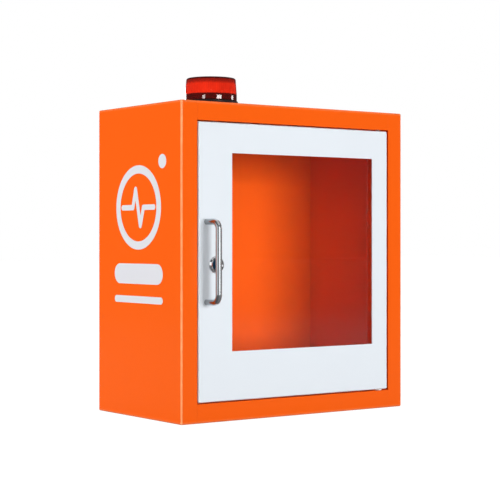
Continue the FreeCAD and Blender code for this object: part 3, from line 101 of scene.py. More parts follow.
ahead = Vector((math.sin(VIEW_TURN), math.cos(VIEW_TURN), 0))
aside = Vector((ahead.y, -ahead.x, 0))
camera = bpy.data.objects.new("camera", bpy.data.cameras.new("camera"))
camera.location = CENTRE - ahead * VIEW_DISTANCE + aside * VIEW_ASIDE + Vector((0, 0, VIEW_HEIGHT))
camera.rotation_euler = (math.radians(90), 0, -VIEW_TURN)
camera.data.lens = LENS_LENGTH
camera.data.sensor_width = SENSOR_WIDTH
camera.data.shift_y = SHIFT_UP
camera.data.clip_start = 0.01
bpy.context.scene.collection.objects.link(camera)
bpy.context.scene.camera = camera
bpy.context.scene.view_settings.view_transform = "Standard"
print("camera:", [round(v, 3) for v in camera.location])

# %% [markdown]
# ## Writing a finish as sums
# A finish is a web of shader nodes. Wiring each by hand hides what it means, so one small class wraps a
# socket and lets Python's own operators add the Math nodes, and one method adds any other node. Colours
# never pass through a Math node, which would turn them grey: they are blended with Mix.

# %% The wrapped socket and the finish
class Wire:
    """A socket of a finish. Sums written with it become Math nodes."""

    def __init__(self, finish, socket):
        self.finish, self.socket = finish, socket

    def maths(self, operation, *terms):
        return self.finish.node("Math", {"operation": operation}, dict(enumerate(terms)))

    def __add__(self, other):
        return self.maths("ADD", self, other)

    def __sub__(self, other):
        return self.maths("SUBTRACT", self, other)

    def __rsub__(self, other):
        return self.maths("SUBTRACT", other, self)

    def __mul__(self, other):
        return self.maths("MULTIPLY", self, other)

    def __truediv__(self, other):
        return self.maths("DIVIDE", self, other)

    def __pow__(self, other):
        return self.maths("POWER", self, other)

    def __gt__(self, other):
        return self.maths("GREATER_THAN", self, other)

    def __abs__(self):
        return self.maths("ABSOLUTE", self)

    __radd__ = __add__
    __rmul__ = __mul__


class Finish:
    """A material under construction."""

    def __init__(self, name):
        self.material = bpy.data.materials.new(name)
        self.material.use_nodes = True
        self.tree = self.material.node_tree
        self.tree.nodes.clear()
        self.place = self.node("TexCoord", output="Object")

    def node(self, kind, settings=None, inputs=None, output=0):
        """Adds a node: its settings first, then the values or links of its sockets."""
        made = self.tree.nodes.new("ShaderNode" + kind)
        for name, value in (settings or {}).items():
            setattr(made, name, value)
        for name, value in (inputs or {}).items():
            if isinstance(value, Wire):
                self.tree.links.new(value.socket, made.inputs[name])
            elif isinstance(value, (int, float)) or len(value) != 3 or made.inputs[name].type != "RGBA":
                made.inputs[name].default_value = value
            else:
                made.inputs[name].default_value = (*value, 1)
        return Wire(self, made.outputs[output]) if len(made.outputs) else None

    def noise(self, size, detail=2.0, stretch=(1, 1, 1), rough=0.5):
        """Cloudy noise, 0 to 1, with blotches about size metres across."""
        place = self.node("VectorMath", {"operation": "MULTIPLY"}, {0: self.place, 1: stretch})
        wanted = {"Vector": place, "Scale": 0.5 / size, "Detail": detail, "Roughness": rough}
        return self.node("TexNoise", inputs=wanted, output="Fac")

    def between(self, value, low, high):
        """Value eased from 0 at low to 1 at high."""
        wanted = {"Value": value, "From Min": low, "From Max": high}
        return self.node("MapRange", {"interpolation_type": "SMOOTHSTEP"}, wanted)

    def blend(self, share, first, second):
        return self.node("Mix", {"data_type": "RGBA"}, {0: share, 6: first, 7: second}, 2)

    def split(self):
        """The three distances along X, Y and Z from the cabinet's origin."""
        parts = self.tree.nodes.new("ShaderNodeSeparateXYZ")
        self.tree.links.new(self.place.socket, parts.inputs[0])
        return [Wire(self, socket) for socket in parts.outputs]

    def bumps(self, height, depth, strength=1.0, over=None):
        """Hills of a depth. They lie over another surface direction where one is given."""
        wanted = {"Height": height, "Strength": strength, "Distance": depth}
        if over:
            wanted["Normal"] = over
        return self.node("Bump", {}, wanted)

    def surface(self, **inputs):
        """The main shader. A name's underscores stand for spaces."""
        wanted = {name.replace("_", " "): value for name, value in inputs.items()}
        return self.node("BsdfPrincipled", {}, wanted)

    def done(self, shader):
        self.node("OutputMaterial", {}, {"Surface": shader})
        return self.material


def shade(colour, factor):
    return tuple(min(1.0, c * factor) for c in colour)


print("a finish can now be written as sums")

# %% [markdown]
# ## Powder coat
# Powder is sprayed dry and baked, so it flows into a skin about 0.08 mm thick with a faint orange peel:
# soft hills two or three millimetres apart. A displacement would need millions of faces for that, so the
# peel is a bump of a few hundredths of a millimetre. The gloss drifts slightly where the skin is thicker,
# and handled spots are a little duller. The folds get a painted highlight: a paler tone along them stands
# in for the light that a glossy fold catches. A comparison of surface directions would find every corner,
# the butted joints of the blanks too. The folds alone are found by their distance from the sides, front
# and roof of the cabinet, so the door and the brackets inside have none.

# %% Powder coat
def powder_coat(name, colour, fold_highlight_tone, rough, coat):
    """Paint of a colour, with a paler tone on the folds as a painted highlight. Rough is for the skin, and
    coat is its gloss.
    """
    f = Finish(name)
    x, y, z = f.split()
    near_side = f.between(abs(x), body_high.x - 2.6 * MM, body_high.x - 1.2 * MM)
    near_roof = f.between(abs(z), body_high.z - 2.2 * MM, body_high.z - 1.0 * MM)
    near_front = 1 - f.between(y, body_low.y + 1.2 * MM, body_low.y + 2.6 * MM)
    fold = near_side * near_front + (near_side + near_front) * near_roof * 0.25
    peel = f.noise(2.4 * MM, 1.0)
    pores = f.noise(0.5 * MM, 2.0)
    drift = f.noise(55 * MM, 3.0)
    handled = f.between(f.noise(30 * MM, 4.0, rough=0.65), 0.58, 0.78)
    rounded = f.node("Bevel", {"samples": 8}, {"Radius": 1.0 * MM})
    patchy = 0.75 + f.between(f.noise(9 * MM, 3.0), 0.42, 0.62) * 0.25
    # Painted highlight: the folds are blended to a paler tone that stands in for the light a glossy fold
    # catches.
    painted_fold_highlight = fold * patchy
    tone = f.blend(drift, shade(colour, 0.985), shade(colour, 1.015))
    tone = f.blend(painted_fold_highlight, tone, fold_highlight_tone)
    skin = f.bumps(peel * 0.75 + pores * 0.25, 0.06 * MM, 0.35, rounded)
    gloss = rough + drift * 0.05 + handled * 0.05 + painted_fold_highlight * 0.1
    shader = f.surface(Base_Color=tone, Roughness=gloss, Normal=skin, Specular_IOR_Level=0.05,
                       Coat_Weight=coat, Coat_Roughness=0.12)
    return f.done(shader)


# The second colour of each coat is its painted fold highlight, a paler tone.
ORANGE = (0.94, 0.118, 0.005)
ORANGE_FOLD_HIGHLIGHT = (0.95, 0.36, 0.15)
WHITE = (0.79, 0.84, 0.89)
finishes = {
    "orange_enamel": powder_coat("orange powder coat", ORANGE, ORANGE_FOLD_HIGHLIGHT, 0.36, 0.5),
    "white_enamel": powder_coat("white powder coat", WHITE, shade(WHITE, 1.06), 0.3, 0.5),
}
print("powder coats:", list(finishes))

# %% [markdown]
# ## Bare and plated metal
# Small hardware is zinc plated: a grey-blue metal whose passivation has a faint warm and cool cloud, with
# grains and rub marks. The handle is stainless bar drawn through abrasive, so its scratches run along its
# length: the noise is stretched the same way. It stands beside bright orange paint, which it would mirror
# as a stripe, so the side that faces left is painted darker, as painted shade. Chrome is nearly a mirror, so
# only hair scratches, pits and finger haze show. The lock's plug is chrome tinted blue: a painted reflection.

# %% Metals
def plated(name, warm, cool, rough, grain=0.35 * MM):
    f = Finish(name)
    cloud = f.noise(3.5 * MM, 3.0)
    grains = f.node("TexVoronoi", {"feature": "F1"}, {"Vector": f.place, "Scale": 0.5 / grain}, "Distance")
    rubs = f.noise(0.25 * MM, 2.0, (1, 1, 0.12))
    tone = f.blend(f.between(cloud, 0.3, 0.7), warm, cool)
    gloss = rough + cloud * 0.12 + f.between(rubs, 0.55, 0.8) * 0.12
    skin = f.bumps(grains * 0.5 + rubs * 0.5, 0.02 * MM, 0.3)
    return f.done(f.surface(Base_Color=tone, Metallic=1.0, Roughness=gloss, Normal=skin))


def drawn_bar(name, colour, rough):
    f = Finish(name)
    lines = f.noise(0.12 * MM, 3.0, (1, 1, 0.02))
    bands = f.noise(0.8 * MM, 2.0, (1, 1, 0.01))
    smear = f.between(f.noise(14 * MM, 3.0), 0.45, 0.75)
    normal = f.node("NewGeometry", output="Normal")
    leftward = f.node("VectorMath", {"operation": "DOT_PRODUCT"}, {0: normal, 1: (-1, 0, 0)}, "Value")
    tone = f.blend(bands, shade(colour, 0.92), shade(colour, 1.06))
    # Painted shade: the colour is darker on the side that faces left, to dim the mirrored orange.
    tone = f.blend(f.between(leftward, 0.3, 0.85) * 0.75, tone, shade(colour, 0.3))
    gloss = rough + lines * 0.12 + smear * 0.08
    skin = f.bumps(lines * 0.3 + bands * 0.7, 0.01 * MM, 0.15)
    return f.done(f.surface(Base_Color=tone, Metallic=1.0, Roughness=gloss, Normal=skin))


def mirror_plate(name, colour):
    f = Finish(name)
    hairs = f.node("TexWave", {"wave_type": "BANDS", "bands_direction": "DIAGONAL"},
                   {"Vector": f.place, "Scale": 900.0, "Distortion": 18.0, "Detail": 3.0}, "Fac")
    hair = f.between(hairs, 0.93, 1.0)
    pits = f.between(f.noise(0.3 * MM, 1.0), 0.7, 0.8)
    haze = f.between(f.noise(7 * MM, 4.0), 0.45, 0.7)
    tone = f.blend(haze * 0.4, colour, shade(colour, 0.88))
    gloss = 0.05 + hair * 0.1 + haze * 0.06 + pits * 0.2
    skin = f.bumps(hair * 0.6 - pits, 0.01 * MM, 0.3)
    return f.done(f.surface(Base_Color=tone, Metallic=1.0, Roughness=gloss, Normal=skin))


finishes["zinc_steel"] = plated("bright zinc", (0.6, 0.59, 0.55), (0.56, 0.6, 0.64), 0.24)
finishes["contact_plate"] = plated("nickel contact", (0.7, 0.64, 0.54), (0.66, 0.63, 0.56), 0.2)
finishes["satin_steel"] = drawn_bar("stainless bar", (0.72, 0.75, 0.78), 0.1)
finishes["spring_steel"] = drawn_bar("spring wire", (0.42, 0.42, 0.44), 0.26)
finishes["chrome_plate"] = mirror_plate("chrome", (0.8, 0.81, 0.83))
# The plug's blue tint is a painted reflection: chrome coloured blue stands in for the blue it mirrors.
plug_painted_reflection = mirror_plate("blued chrome", (0.12, 0.34, 0.62))
print("metals:", len(finishes) - 2)

# %% [markdown]
# ## Moulded plastic, rubber and foam
# Injection moulds are spark eroded, which leaves a fine even grain, and a part comes out with slow flow
# clouds in its gloss. Rubber is duller and picks up dust. They are one recipe with a different grain, so one
# function makes them all. Foam tape is cut through its cells, and has a recipe of its own because its pores
# go inwards.

# %% Moulded finishes
def moulded(name, colour, rough, grain, depth, dust, soft):
    """A grain of a size and a depth, with dust in patches. Soft is how much light goes into the skin."""
    f = Finish(name)
    texture = f.noise(grain, 2.0)
    flow = f.noise(18 * MM, 3.0)
    settled = f.between(f.noise(1.1 * MM, 4.0, rough=0.7), 0.6, 0.8) * dust
    tone = f.blend(flow, shade(colour, 0.93), shade(colour, 1.07))
    tone = f.blend(settled, tone, (0.42, 0.4, 0.37))
    gloss = rough + flow * 0.08 + settled * 0.2
    skin = f.bumps(texture, depth, 0.5)
    shader = f.surface(Base_Color=tone, Roughness=gloss, Normal=skin, Subsurface_Weight=soft,
                       Subsurface_Radius=(MM, MM, MM), Subsurface_Scale=1.0)
    return f.done(shader)


def cut_foam(name, colour):
    f = Finish(name)
    wanted = {"Vector": f.place, "Scale": 1100.0}
    cells = f.node("TexVoronoi", {"feature": "DISTANCE_TO_EDGE"}, wanted, "Distance")
    pores = f.between(cells, 0.05, 0.35)
    # The pores are painted darker: painted shade in the hollows of the cut cells.
    tone = f.blend(pores, colour, shade(colour, 0.55))
    skin = f.bumps(1 - pores, 0.25 * MM)
    return f.done(f.surface(Base_Color=tone, Roughness=0.9 - pores * 0.1, Normal=skin))


for slot, name, colour, rough, grain, depth, dust, soft in [
    ("black_plastic", "black moulding", (0.011, 0.011, 0.012), 0.42, 0.3, 0.03, 0.08, 0.0),
    ("white_plastic", "white moulding", (0.76, 0.76, 0.72), 0.36, 0.3, 0.03, 0.05, 0.05),
    ("white_nylon", "white nylon", (0.84, 0.84, 0.8), 0.42, 0.6, 0.02, 0.04, 0.1),
    ("red_plastic", "red moulding", (0.5, 0.018, 0.01), 0.2, 0.4, 0.01, 0.0, 0.0),
    ("black_rubber", "black rubber", (0.02, 0.02, 0.021), 0.68, 0.4, 0.05, 0.3, 0.0),
    ("ferrite", "sintered ferrite", (0.05, 0.05, 0.055), 0.55, 0.2, 0.06, 0.2, 0.0),
]:
    finishes[slot] = moulded(name, colour, rough, grain * MM, depth * MM, dust, soft)
finishes["foam_tape"] = cut_foam("foam tape", (0.7, 0.7, 0.69))
print("moulded:", len(finishes))

# %% [markdown]
# ## Cut film
# The sign on each side is plotter-cut vinyl, 0.15 mm thick. It is satin, it takes a ghost of the peel under
# it, and a trapped speck lifts it here and there. The edge that the knife leaves is real geometry already.

# %% Vinyl film
def vinyl(name, colour):
    f = Finish(name)
    peel = f.noise(2.4 * MM, 1.0)
    speck = f.between(f.noise(1.6 * MM, 0.0), 0.79, 0.86)
    drift = f.noise(40 * MM, 3.0)
    tone = f.blend(drift, shade(colour, 0.975), shade(colour, 1.01))
    skin = f.bumps(peel * 0.3 + speck, 0.06 * MM, 0.35)
    return f.done(f.surface(Base_Color=tone, Roughness=0.4 + drift * 0.08, Normal=skin))


finishes["white_film"] = vinyl("white vinyl", (0.72, 0.725, 0.765))
print("film:", finishes["white_film"].name)

# %% [markdown]
# ## The window
# Cast acrylic reflects about four per cent face on and far more at a glancing angle. A glass shader would
# need many bounces to let light into the cabinet, so the pane is a see-through shader mixed with a mirror
# by the Fresnel law, plus the faint haze that wiping leaves. Its sawn edge is frosted and shows the pane's
# own tint.

# %% Acrylic
def acrylic(name, edge_tint):
    f = Finish(name)
    normal = f.node("NewGeometry", output="Normal")
    across = f.node("VectorMath", {"operation": "DOT_PRODUCT"}, {0: normal, 1: (0, 1, 0)}, "Value")
    sawn = 1 - f.between(abs(across), 0.3, 0.9)
    wiped = f.between(f.noise(9 * MM, 4.0, (0.5, 1, 1.6), 0.6), 0.55, 0.85)
    mirror = f.node("Fresnel", {}, {"IOR": 1.49})
    clear = f.node("BsdfTransparent", {}, {"Color": (0.99, 0.995, 0.995)})
    gloss = f.surface(Base_Color=(1.0, 1.0, 1.0), Metallic=1.0, Roughness=0.03 + wiped * 0.05)
    frost = f.surface(Base_Color=edge_tint, Roughness=0.45)
    face = f.node("MixShader", {}, {0: mirror * 0.7 + wiped * 0.003, 1: clear, 2: gloss})
    return f.done(f.node("MixShader", {}, {0: sawn * 0.7, 1: face, 2: frost}))


finishes["clear_acrylic"] = acrylic("acrylic pane", (0.62, 0.72, 0.74))
print("window:", finishes["clear_acrylic"].name)

# %% [markdown]
# ## Red glazing
# The beacon's lens and the lamps in it are tinted, so light that crosses them is coloured and what reflects
# off them is not. A refracting shader goes nearly black over a black base, so this mixes a tinted
# see-through shader with a scattering one. Its colour is painted light and shade by height: its plain skirt
# is clear and shows the dark base, the prisms above are painted bright for the light they gather, the plain
# band under the crown is painted dark again, darkest where the wall bends over, and painted glints sit low
# on the prisms. Where the wall is seen edge on, it is pale, because light from behind runs along it.

# %% Lamp resin
def resin(name, through, body, share):
    f = Finish(name)
    swirl = f.noise(0.8 * MM, 2.0)
    clear = f.node("BsdfTransparent", {}, {"Color": through})
    cloudy = f.surface(Base_Color=f.blend(swirl, body, shade(body, 0.8)), Roughness=0.06 + swirl * 0.05)
    return f.done(f.node("MixShader", {}, {0: share, 1: clear, 2: cloudy}))


finishes["lamp_resin"] = resin("lamp resin", (1.0, 0.5, 0.42), (0.8, 0.16, 0.1), 0.45)
print("resin:", finishes["lamp_resin"].name)

# %% Lens sizes
LENS_WALL = 2.0 * MM
LENS_TAPER = 1.4 * MM
SKIRT = 8.0 * MM
CROWN = 2.5 * MM
PRISMS = 72
PRISM_DEPTH = 0.8 * MM

lens_low, lens_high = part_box("beacon_lens")
lens_axis = (lens_low + lens_high) / 2
lens_r = (lens_high.x - lens_low.x) / 2
skirt_top = lens_low.z + SKIRT
print("lens radius:", round(lens_r / MM, 2), "mm, skirt to", round(skirt_top, 4))


# %% Red lens
def red_lens(name):
    f = Finish(name)
    x, y, z = f.split()
    prisms = f.between(z, skirt_top - 0.4 * MM, skirt_top + 0.8 * MM)
    plain = f.between(z, lens_high.z - 9.5 * MM, lens_high.z - 4.5 * MM)
    flat_top = f.between(z, lens_high.z - 0.4 * MM, lens_high.z - 0.1 * MM)
    # Painted shade: the wall is painted darkest where it bends over into the crown.
    bend = f.between(z, lens_high.z - 3.6 * MM, lens_high.z - 1.6 * MM) * (1 - flat_top)
    angle = f.node("Math", {"operation": "ARCTAN2"}, {0: y - lens_axis.y, 1: x - lens_axis.x})
    fold = f.node("Math", {"operation": "PINGPONG"}, {0: angle * PRISMS / (2 * math.pi), 1: 0.5}) * 2
    facet = f.between(fold, 0.25, 0.75) * (1 - plain)
    cloud = f.noise(5 * MM, 3.0)
    # Painted light: the prism band is painted bright for the light it gathers, its facets alternating in
    # tone.
    lit = f.blend(facet * 0.15 + cloud * 0.85, (0.55, 0.016, 0.004), (0.86, 0.034, 0.008))
    low_down = 1 - f.between(z, skirt_top + 2 * MM, skirt_top + 9 * MM)
    # Painted highlights: a few lighter glints low on the prisms.
    painted_glint = f.between(f.noise(0.7 * MM, 2.0), 0.6, 0.75) * low_down
    lit = f.blend(painted_glint * 0.5, lit, (1.0, 0.16, 0.09))
    # Painted shade: the plain band under the crown and the bend are darker.
    lit_and_shaded_red = f.blend(plain, lit, (0.27, 0.010, 0.004))
    lit_and_shaded_red = f.blend(bend, lit_and_shaded_red, (0.06, 0.004, 0.003))
    body = f.blend(prisms, (0.11, 0.006, 0.004), lit_and_shaded_red)
    edge_on = f.node("LayerWeight", {}, {"Blend": 0.5}, "Facing") ** 9
    through = f.blend(edge_on, (0.95, 0.10, 0.035), (0.93, 0.60, 0.57))
    clear = f.node("BsdfTransparent", {}, {"Color": through})
    skin = f.bumps(fold * prisms * (1 - plain), 0.05 * MM, 0.15)
    cloudy = f.surface(Base_Color=body, Roughness=0.3 + cloud * 0.1, Normal=skin, Specular_IOR_Level=0.0)
    inside = f.node("MixShader", {}, {0: (0.5 + prisms * 0.38) * (1 - edge_on * 0.8), 1: clear, 2: cloudy})
    polish = f.surface(Base_Color=(1.0, 1.0, 1.0), Metallic=1.0, Roughness=0.02 + cloud * 0.02)
    mirror = f.node("Fresnel", {}, {"IOR": 1.58})
    return f.done(f.node("MixShader", {}, {0: mirror, 1: inside, 2: polish}))


finishes["red_lens"] = red_lens("red lens")
print("lens finish:", finishes["red_lens"].name)

# %% [markdown]
# ## Circuit board and dry cells
# These are inside, so they only have to be right when a cover is off. A board is green solder mask over
# copper tracks, and what stands on it is black, which its height tells. A cell has a blue jacket that turns
# gold towards its ends, which are bare steel.

# %% Electronics
def circuit(name, top_z):
    f = Finish(name)
    height = f.split()[2]
    parts = height > top_z + 0.1 * MM
    grid = {"Vector": f.place, "Scale": 210.0, "Mortar Size": 0.012, "Brick Width": 1.7, "Row Height": 0.42,
            "Color1": (0, 0, 0), "Color2": (0, 0, 0), "Mortar": (1, 1, 1)}
    track = f.between(f.node("TexBrick", {"offset": 0.37}, grid, "Fac"), 0.2, 0.8)
    mask = f.blend(track, (0.008, 0.1, 0.032), (0.03, 0.2, 0.06))
    black = f.blend(f.noise(0.4 * MM), (0.012, 0.012, 0.013), (0.03, 0.03, 0.03))
    tone = f.blend(parts, mask, black)
    skin = f.bumps(track + f.noise(0.2 * MM) * 0.2, 0.04 * MM)
    return f.done(f.surface(Base_Color=tone, Roughness=0.28 + parts * 0.25, Normal=skin))


def cell_wrap(name, middle_y):
    f = Finish(name)
    along = abs(f.split()[1] - middle_y)
    bare = f.between(along, 23.6 * MM, 24.0 * MM)
    band = f.between(along, 16.0 * MM, 16.3 * MM)
    scuff = f.between(f.noise(1.5 * MM, 4.0, (1, 0.2, 1)), 0.6, 0.75)
    jacket = f.blend(band, (0.012, 0.05, 0.22), (0.62, 0.4, 0.12))
    tone = f.blend(bare, f.blend(scuff * 0.4, jacket, (0.3, 0.33, 0.4)), (0.62, 0.62, 0.6))
    shader = f.surface(Base_Color=tone, Metallic=0.25 + bare * 0.75, Roughness=0.22 + scuff * 0.2,
                       Normal=f.bumps(scuff, 0.01 * MM))
    return f.done(shader)


cells_low, cells_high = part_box("battery_cells")
beacon_board_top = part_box("beacon_board")[1].z
alarm_board_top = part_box("alarm_board")[1].z - 8 * MM  # its terminal block stands 8 mm high
finishes["circuit_board"] = circuit("solder mask", beacon_board_top)
alarm_mask = circuit("alarm solder mask", alarm_board_top)
finishes["cell_jacket"] = cell_wrap("cell jacket", (cells_low.y + cells_high.y) / 2)
print("finishes:", len(finishes))

# %% [markdown]
# ## Give every part its finish
# The record says which finish each part takes, so no list of parts is needed here. Two parts then get a
# finish of their own: the alarm's board, which has parts standing on it, and the lock's plug, whose chrome
# is tinted blue as a painted reflection.

# %% Hand out the finishes
def dress(piece, finish):
    piece.data.materials.clear()
    piece.data.materials.append(finish)


for part in record["subparts"]:
    dress(nodes[part["node"]], finishes[part["material_slot"]])
dress(nodes["alarm_board"], alarm_mask)
dress(nodes["lock_plug"], plug_painted_reflection)
print("dressed:", len(record["subparts"]))

# %% [markdown]
# ## Pieces that are turned or wound
# Round pieces are made like pottery: an outline is turned about an axis. A solid of revolution could also
# come from a Screw modifier, but here the radius changes with the angle as well, for the prisms, so the
# rings are placed one point at a time.

# %% Turn an outline
def new_piece(name, mesh, body, slot, stands_for):
    made = bpy.data.meshes.new(name)
    bmesh.ops.recalc_face_normals(mesh, faces=mesh.faces)
    mesh.to_mesh(made)
    mesh.free()
    piece = bpy.data.objects.new(name, made)
    bpy.context.scene.collection.objects.link(piece)
    dress(piece, finishes[slot])
    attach(piece, body)
    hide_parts(stands_for)
    print(name, len(made.polygons), "faces")
    return piece


def turn(mesh, outline, steps, axis, radius=lambda r, z, angle: (r, z)):
    """Turns a closed outline of (r, z) pairs about an upright axis. An r of 0 closes to a point."""
    rings = []
    for r, z in outline:
        if r == 0:
            rings.append([mesh.verts.new((axis.x, axis.y, radius(0, z, 0)[1]))] * steps)
            continue
        ring = []
        for k in range(steps):
            angle = 2 * math.pi * k / steps
            at_r, at_z = radius(r, z, angle)
            x, y = axis.x + at_r * math.cos(angle), axis.y + at_r * math.sin(angle)
            ring.append(mesh.verts.new((x, y, at_z)))
        rings.append(ring)
    for near, far in zip(rings, rings[1:] + rings[:1]):
        for k in range(steps):
            loop = [near[k], near[(k + 1) % steps], far[(k + 1) % steps], far[k]]
            loop = list(dict.fromkeys(loop))
            if len(loop) > 2:
                mesh.faces.new(loop)


def arc(centre, radius, start, end, steps):
    """Points of an arc in the (r, z) plane, from start to end degrees."""
    turns = [math.radians(start + (end - start) * k / steps) for k in range(steps + 1)]
    return [(centre[0] + radius * math.cos(t), centre[1] + radius * math.sin(t)) for t in turns]


print("turning is ready")

# %% [markdown]
# ## The beacon's lens
# The lens is one moulding: a plain skirt that locks on the base, a drafted wall with upright prisms inside,
# and a flat crown with rings inside that spread the lamps' light. The prisms are real folds of the inner
# wall, because their edges catch light one by one. Three tabs in the skirt pass under the base's lugs.

# %% Lens moulding
RING_PITCH = 3.0 * MM
RING_DEPTH = 0.6 * MM
RINGS_WITHIN = 29.5 * MM
STEPS_PER_PRISM = 4
CHAMFER = 0.3 * MM
TAB_INNER_R = 31.3 * MM
TAB_TOP = 2.0 * MM
TAB_SWEEP = 12  # degrees
SAME_HEIGHT = 1e-7

top_r = lens_r - LENS_TAPER
inner_r = lens_r - LENS_WALL
inner_top = lens_high.z - LENS_WALL


def lens_outline():
    """The moulding's section, up the outside, across the crown and down the inside."""
    bend_centre = (top_r - CROWN, lens_high.z - CROWN)
    wall_rise = bend_centre[1] - skirt_top
    inner_rise = inner_top - 2 * CHAMFER - skirt_top
    skirt = [(lens_r, lens_low.z + CHAMFER), (lens_r, lens_low.z + SKIRT / 2), (lens_r, skirt_top)]
    wall = [(lens_r - LENS_TAPER * k / 6, skirt_top + wall_rise * k / 6) for k in range(1, 6)]
    crown = arc(bend_centre, CROWN, 0, 90, 8)
    cap = [(r, lens_high.z) for r in (top_r * 0.6, top_r * 0.25, 0)]
    under = [(r * MM, inner_top) for r in range(math.ceil(RINGS_WITHIN / MM))]
    bend = arc(bend_centre, CROWN - LENS_WALL, 90, 0, 3)
    inside = [(inner_r - LENS_TAPER * k / 12, skirt_top + inner_rise * k / 12) for k in range(11, 0, -1)]
    foot = [(inner_r, skirt_top + 2 * CHAMFER), (inner_r, lens_low.z + CHAMFER),
            (inner_r + CHAMFER, lens_low.z), (lens_r - CHAMFER, lens_low.z)]
    return skirt + wall + crown + cap + under + bend + inside + foot


def with_prisms(r, z, angle):
    """Moves a point of the inner wall or of the crown's underside into its prism or ring."""
    fold = abs((angle * PRISMS / (2 * math.pi)) % 1 * 2 - 1)
    inner = inner_r - (z - skirt_top) / (lens_high.z - skirt_top) * LENS_TAPER + 0.05 * MM
    if skirt_top + 1 * MM < z < inner_top - 0.4 * MM and r < inner:
        return r - PRISM_DEPTH * fold, z
    if abs(z - inner_top) < SAME_HEIGHT and r < RINGS_WITHIN:
        wave = abs((r / RING_PITCH) % 1 * 2 - 1)
        return r, z - RING_DEPTH * wave
    return r, z


def add_sector(mesh, axis, radii, heights, middle, sweep, steps=8):
    """A block bent round an upright axis, between two radii and two heights. Angles are in degrees."""
    (near, far), (low, high) = radii, heights
    section = [(near, low), (far, low), (far, high), (near, high)]
    rows = []
    for k in range(steps + 1):
        angle = math.radians(middle - sweep / 2 + sweep * k / steps)
        rows.append([mesh.verts.new((axis.x + r * math.cos(angle), axis.y + r * math.sin(angle), z))
                     for r, z in section])
    for a, b in zip(rows, rows[1:]):
        for k in range(4):
            mesh.faces.new([a[k], a[(k + 1) % 4], b[(k + 1) % 4], b[k]])
    mesh.faces.new(rows[0])
    mesh.faces.new(rows[-1][::-1])


moulding = bmesh.new()
turn(moulding, lens_outline(), PRISMS * STEPS_PER_PRISM, lens_axis, with_prisms)
for middle in (90, 210, 330):
    add_sector(moulding, lens_axis, (TAB_INNER_R, inner_r + CHAMFER),
               (lens_low.z + 0.02 * MM, lens_low.z + TAB_TOP), middle, TAB_SWEEP)
lens = new_piece("beacon_lens_moulding", moulding, "beacon_cap", "red_lens", "beacon_lens")

# %% [markdown]
# ## The hinge pin's spring
# A compression spring is wire wound evenly, with its last turn at each end closed flat so that it stands
# square. A Screw modifier would give every turn the same pitch, so the helix is written out: its climb
# eases off in the end turns.

# %% Spring
def wind(mesh, axis, low, high, radius, wire, coils, per_coil=28, sides=10):
    """Round wire wound between two heights, with one closed turn at each end."""
    total = coils + 2
    climb = high - low - 4 * wire
    rings = []
    for k in range(total * per_coil + 1):
        turns = k / per_coil
        closed = min(1.0, turns) + max(0.0, turns - coils - 1)
        z = low + wire * (1 + closed) + climb * min(max(turns - 1, 0), coils) / coils
        angle = 2 * math.pi * turns
        out = Vector((math.cos(angle), math.sin(angle), 0))
        centre = Vector((axis.x, axis.y, z)) + out * radius
        ring = []
        for j in range(sides):
            turned = 2 * math.pi * j / sides
            across = out * math.cos(turned) + Vector((0, 0, math.sin(turned)))
            ring.append(mesh.verts.new(centre + wire * across))
        rings.append(ring)
    for a, b in zip(rings, rings[1:]):
        for j in range(sides):
            mesh.faces.new([a[j], a[(j + 1) % sides], b[(j + 1) % sides], b[j]])
    mesh.faces.new(rings[0][::-1])
    mesh.faces.new(rings[-1])


WIRE_R = 0.35 * MM
COILS = 8

spring_low, spring_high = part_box("upper_hinge_spring")
spring_axis = (spring_low + spring_high) / 2
coil_r = (spring_high.x - spring_low.x) / 2 - WIRE_R
coil = bmesh.new()
wind(coil, spring_axis, spring_low.z, spring_high.z, coil_r, WIRE_R, COILS)
spring = new_piece("hinge_spring_coil", coil, "door", "spring_steel", "upper_hinge_spring")
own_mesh(spring)

# %% [markdown]
# ## Smooth shading
# A turned or wound piece should shade as a curve but keep its true corners, so faces are smooth and edges
# sharper than a set angle stay sharp.

# %% Shade the new pieces
def smooth(piece, angle):
    for polygon in piece.data.polygons:
        polygon.use_smooth = True
    piece.data.set_sharp_from_angle(angle=math.radians(angle))


smooth(lens, 28)
smooth(spring, 60)
print("smoothed:", lens.name, spring.name)

# %% [markdown]
# ## Light
# Every side gets one wide softbox. Flat gloss paint and the window would mirror it as a pale veil from some
# directions, so the softboxes are hidden from reflections, and low cards at the beacon's height are what
# the lens mirrors. Bare metal needs something wide and dim to mirror instead. Light linking gives it that:
# the softboxes leave the metal out, and silks round the scene light only the metal. A small lamp behind the
# door's window faces inwards and lifts the inside, which the softboxes alone would leave dark.

# %% Lamps
METALS = ("satin_steel", "chrome_plate", "zinc_steel", "spring_steel", "contact_plate")
BARE = [nodes[part["node"]] for part in record["subparts"] if part["material_slot"] in METALS] + [spring]
LENS_CARD_HEIGHT = 0.45
SILK = 1.5  # how bright the brightest silk looks in a mirror, where 1 is white
SILK_HEIGHT = 2.4


def link_light(lamp, pieces, state):
    """Keeps a lamp's light off the pieces given, with EXCLUDE, or on them alone, with INCLUDE."""
    chosen = bpy.data.collections.new(lamp.name + " pieces")
    for piece in pieces:
        chosen.objects.link(piece)
    for entry in chosen.collection_objects:
        entry.light_linking.link_state = state
    lamp.light_linking.receiver_collection = chosen


def softbox(name, place, target, size, brightness):
    """A rectangular lamp that looks as bright as given in a mirror, where 1 is white."""
    lamp = bpy.data.objects.new(name, bpy.data.lights.new(name, "AREA"))
    lamp.data.shape = "RECTANGLE"
    lamp.data.size, lamp.data.size_y = size
    lamp.data.energy = brightness * math.pi * size[0] * size[1]
    lamp.location = place
    lamp.rotation_euler = (Vector(target) - Vector(place)).to_track_quat("-Z", "Y").to_euler()
    bpy.context.scene.collection.objects.link(lamp)
    return lamp


def stand(azimuth, distance, z):
    """A place round the cabinet. Azimuth 0 is in front and grows to the right, in degrees."""
    turn_by = math.radians(azimuth)
    return CENTRE.x + distance * math.sin(turn_by), CENTRE.y - distance * math.cos(turn_by), z


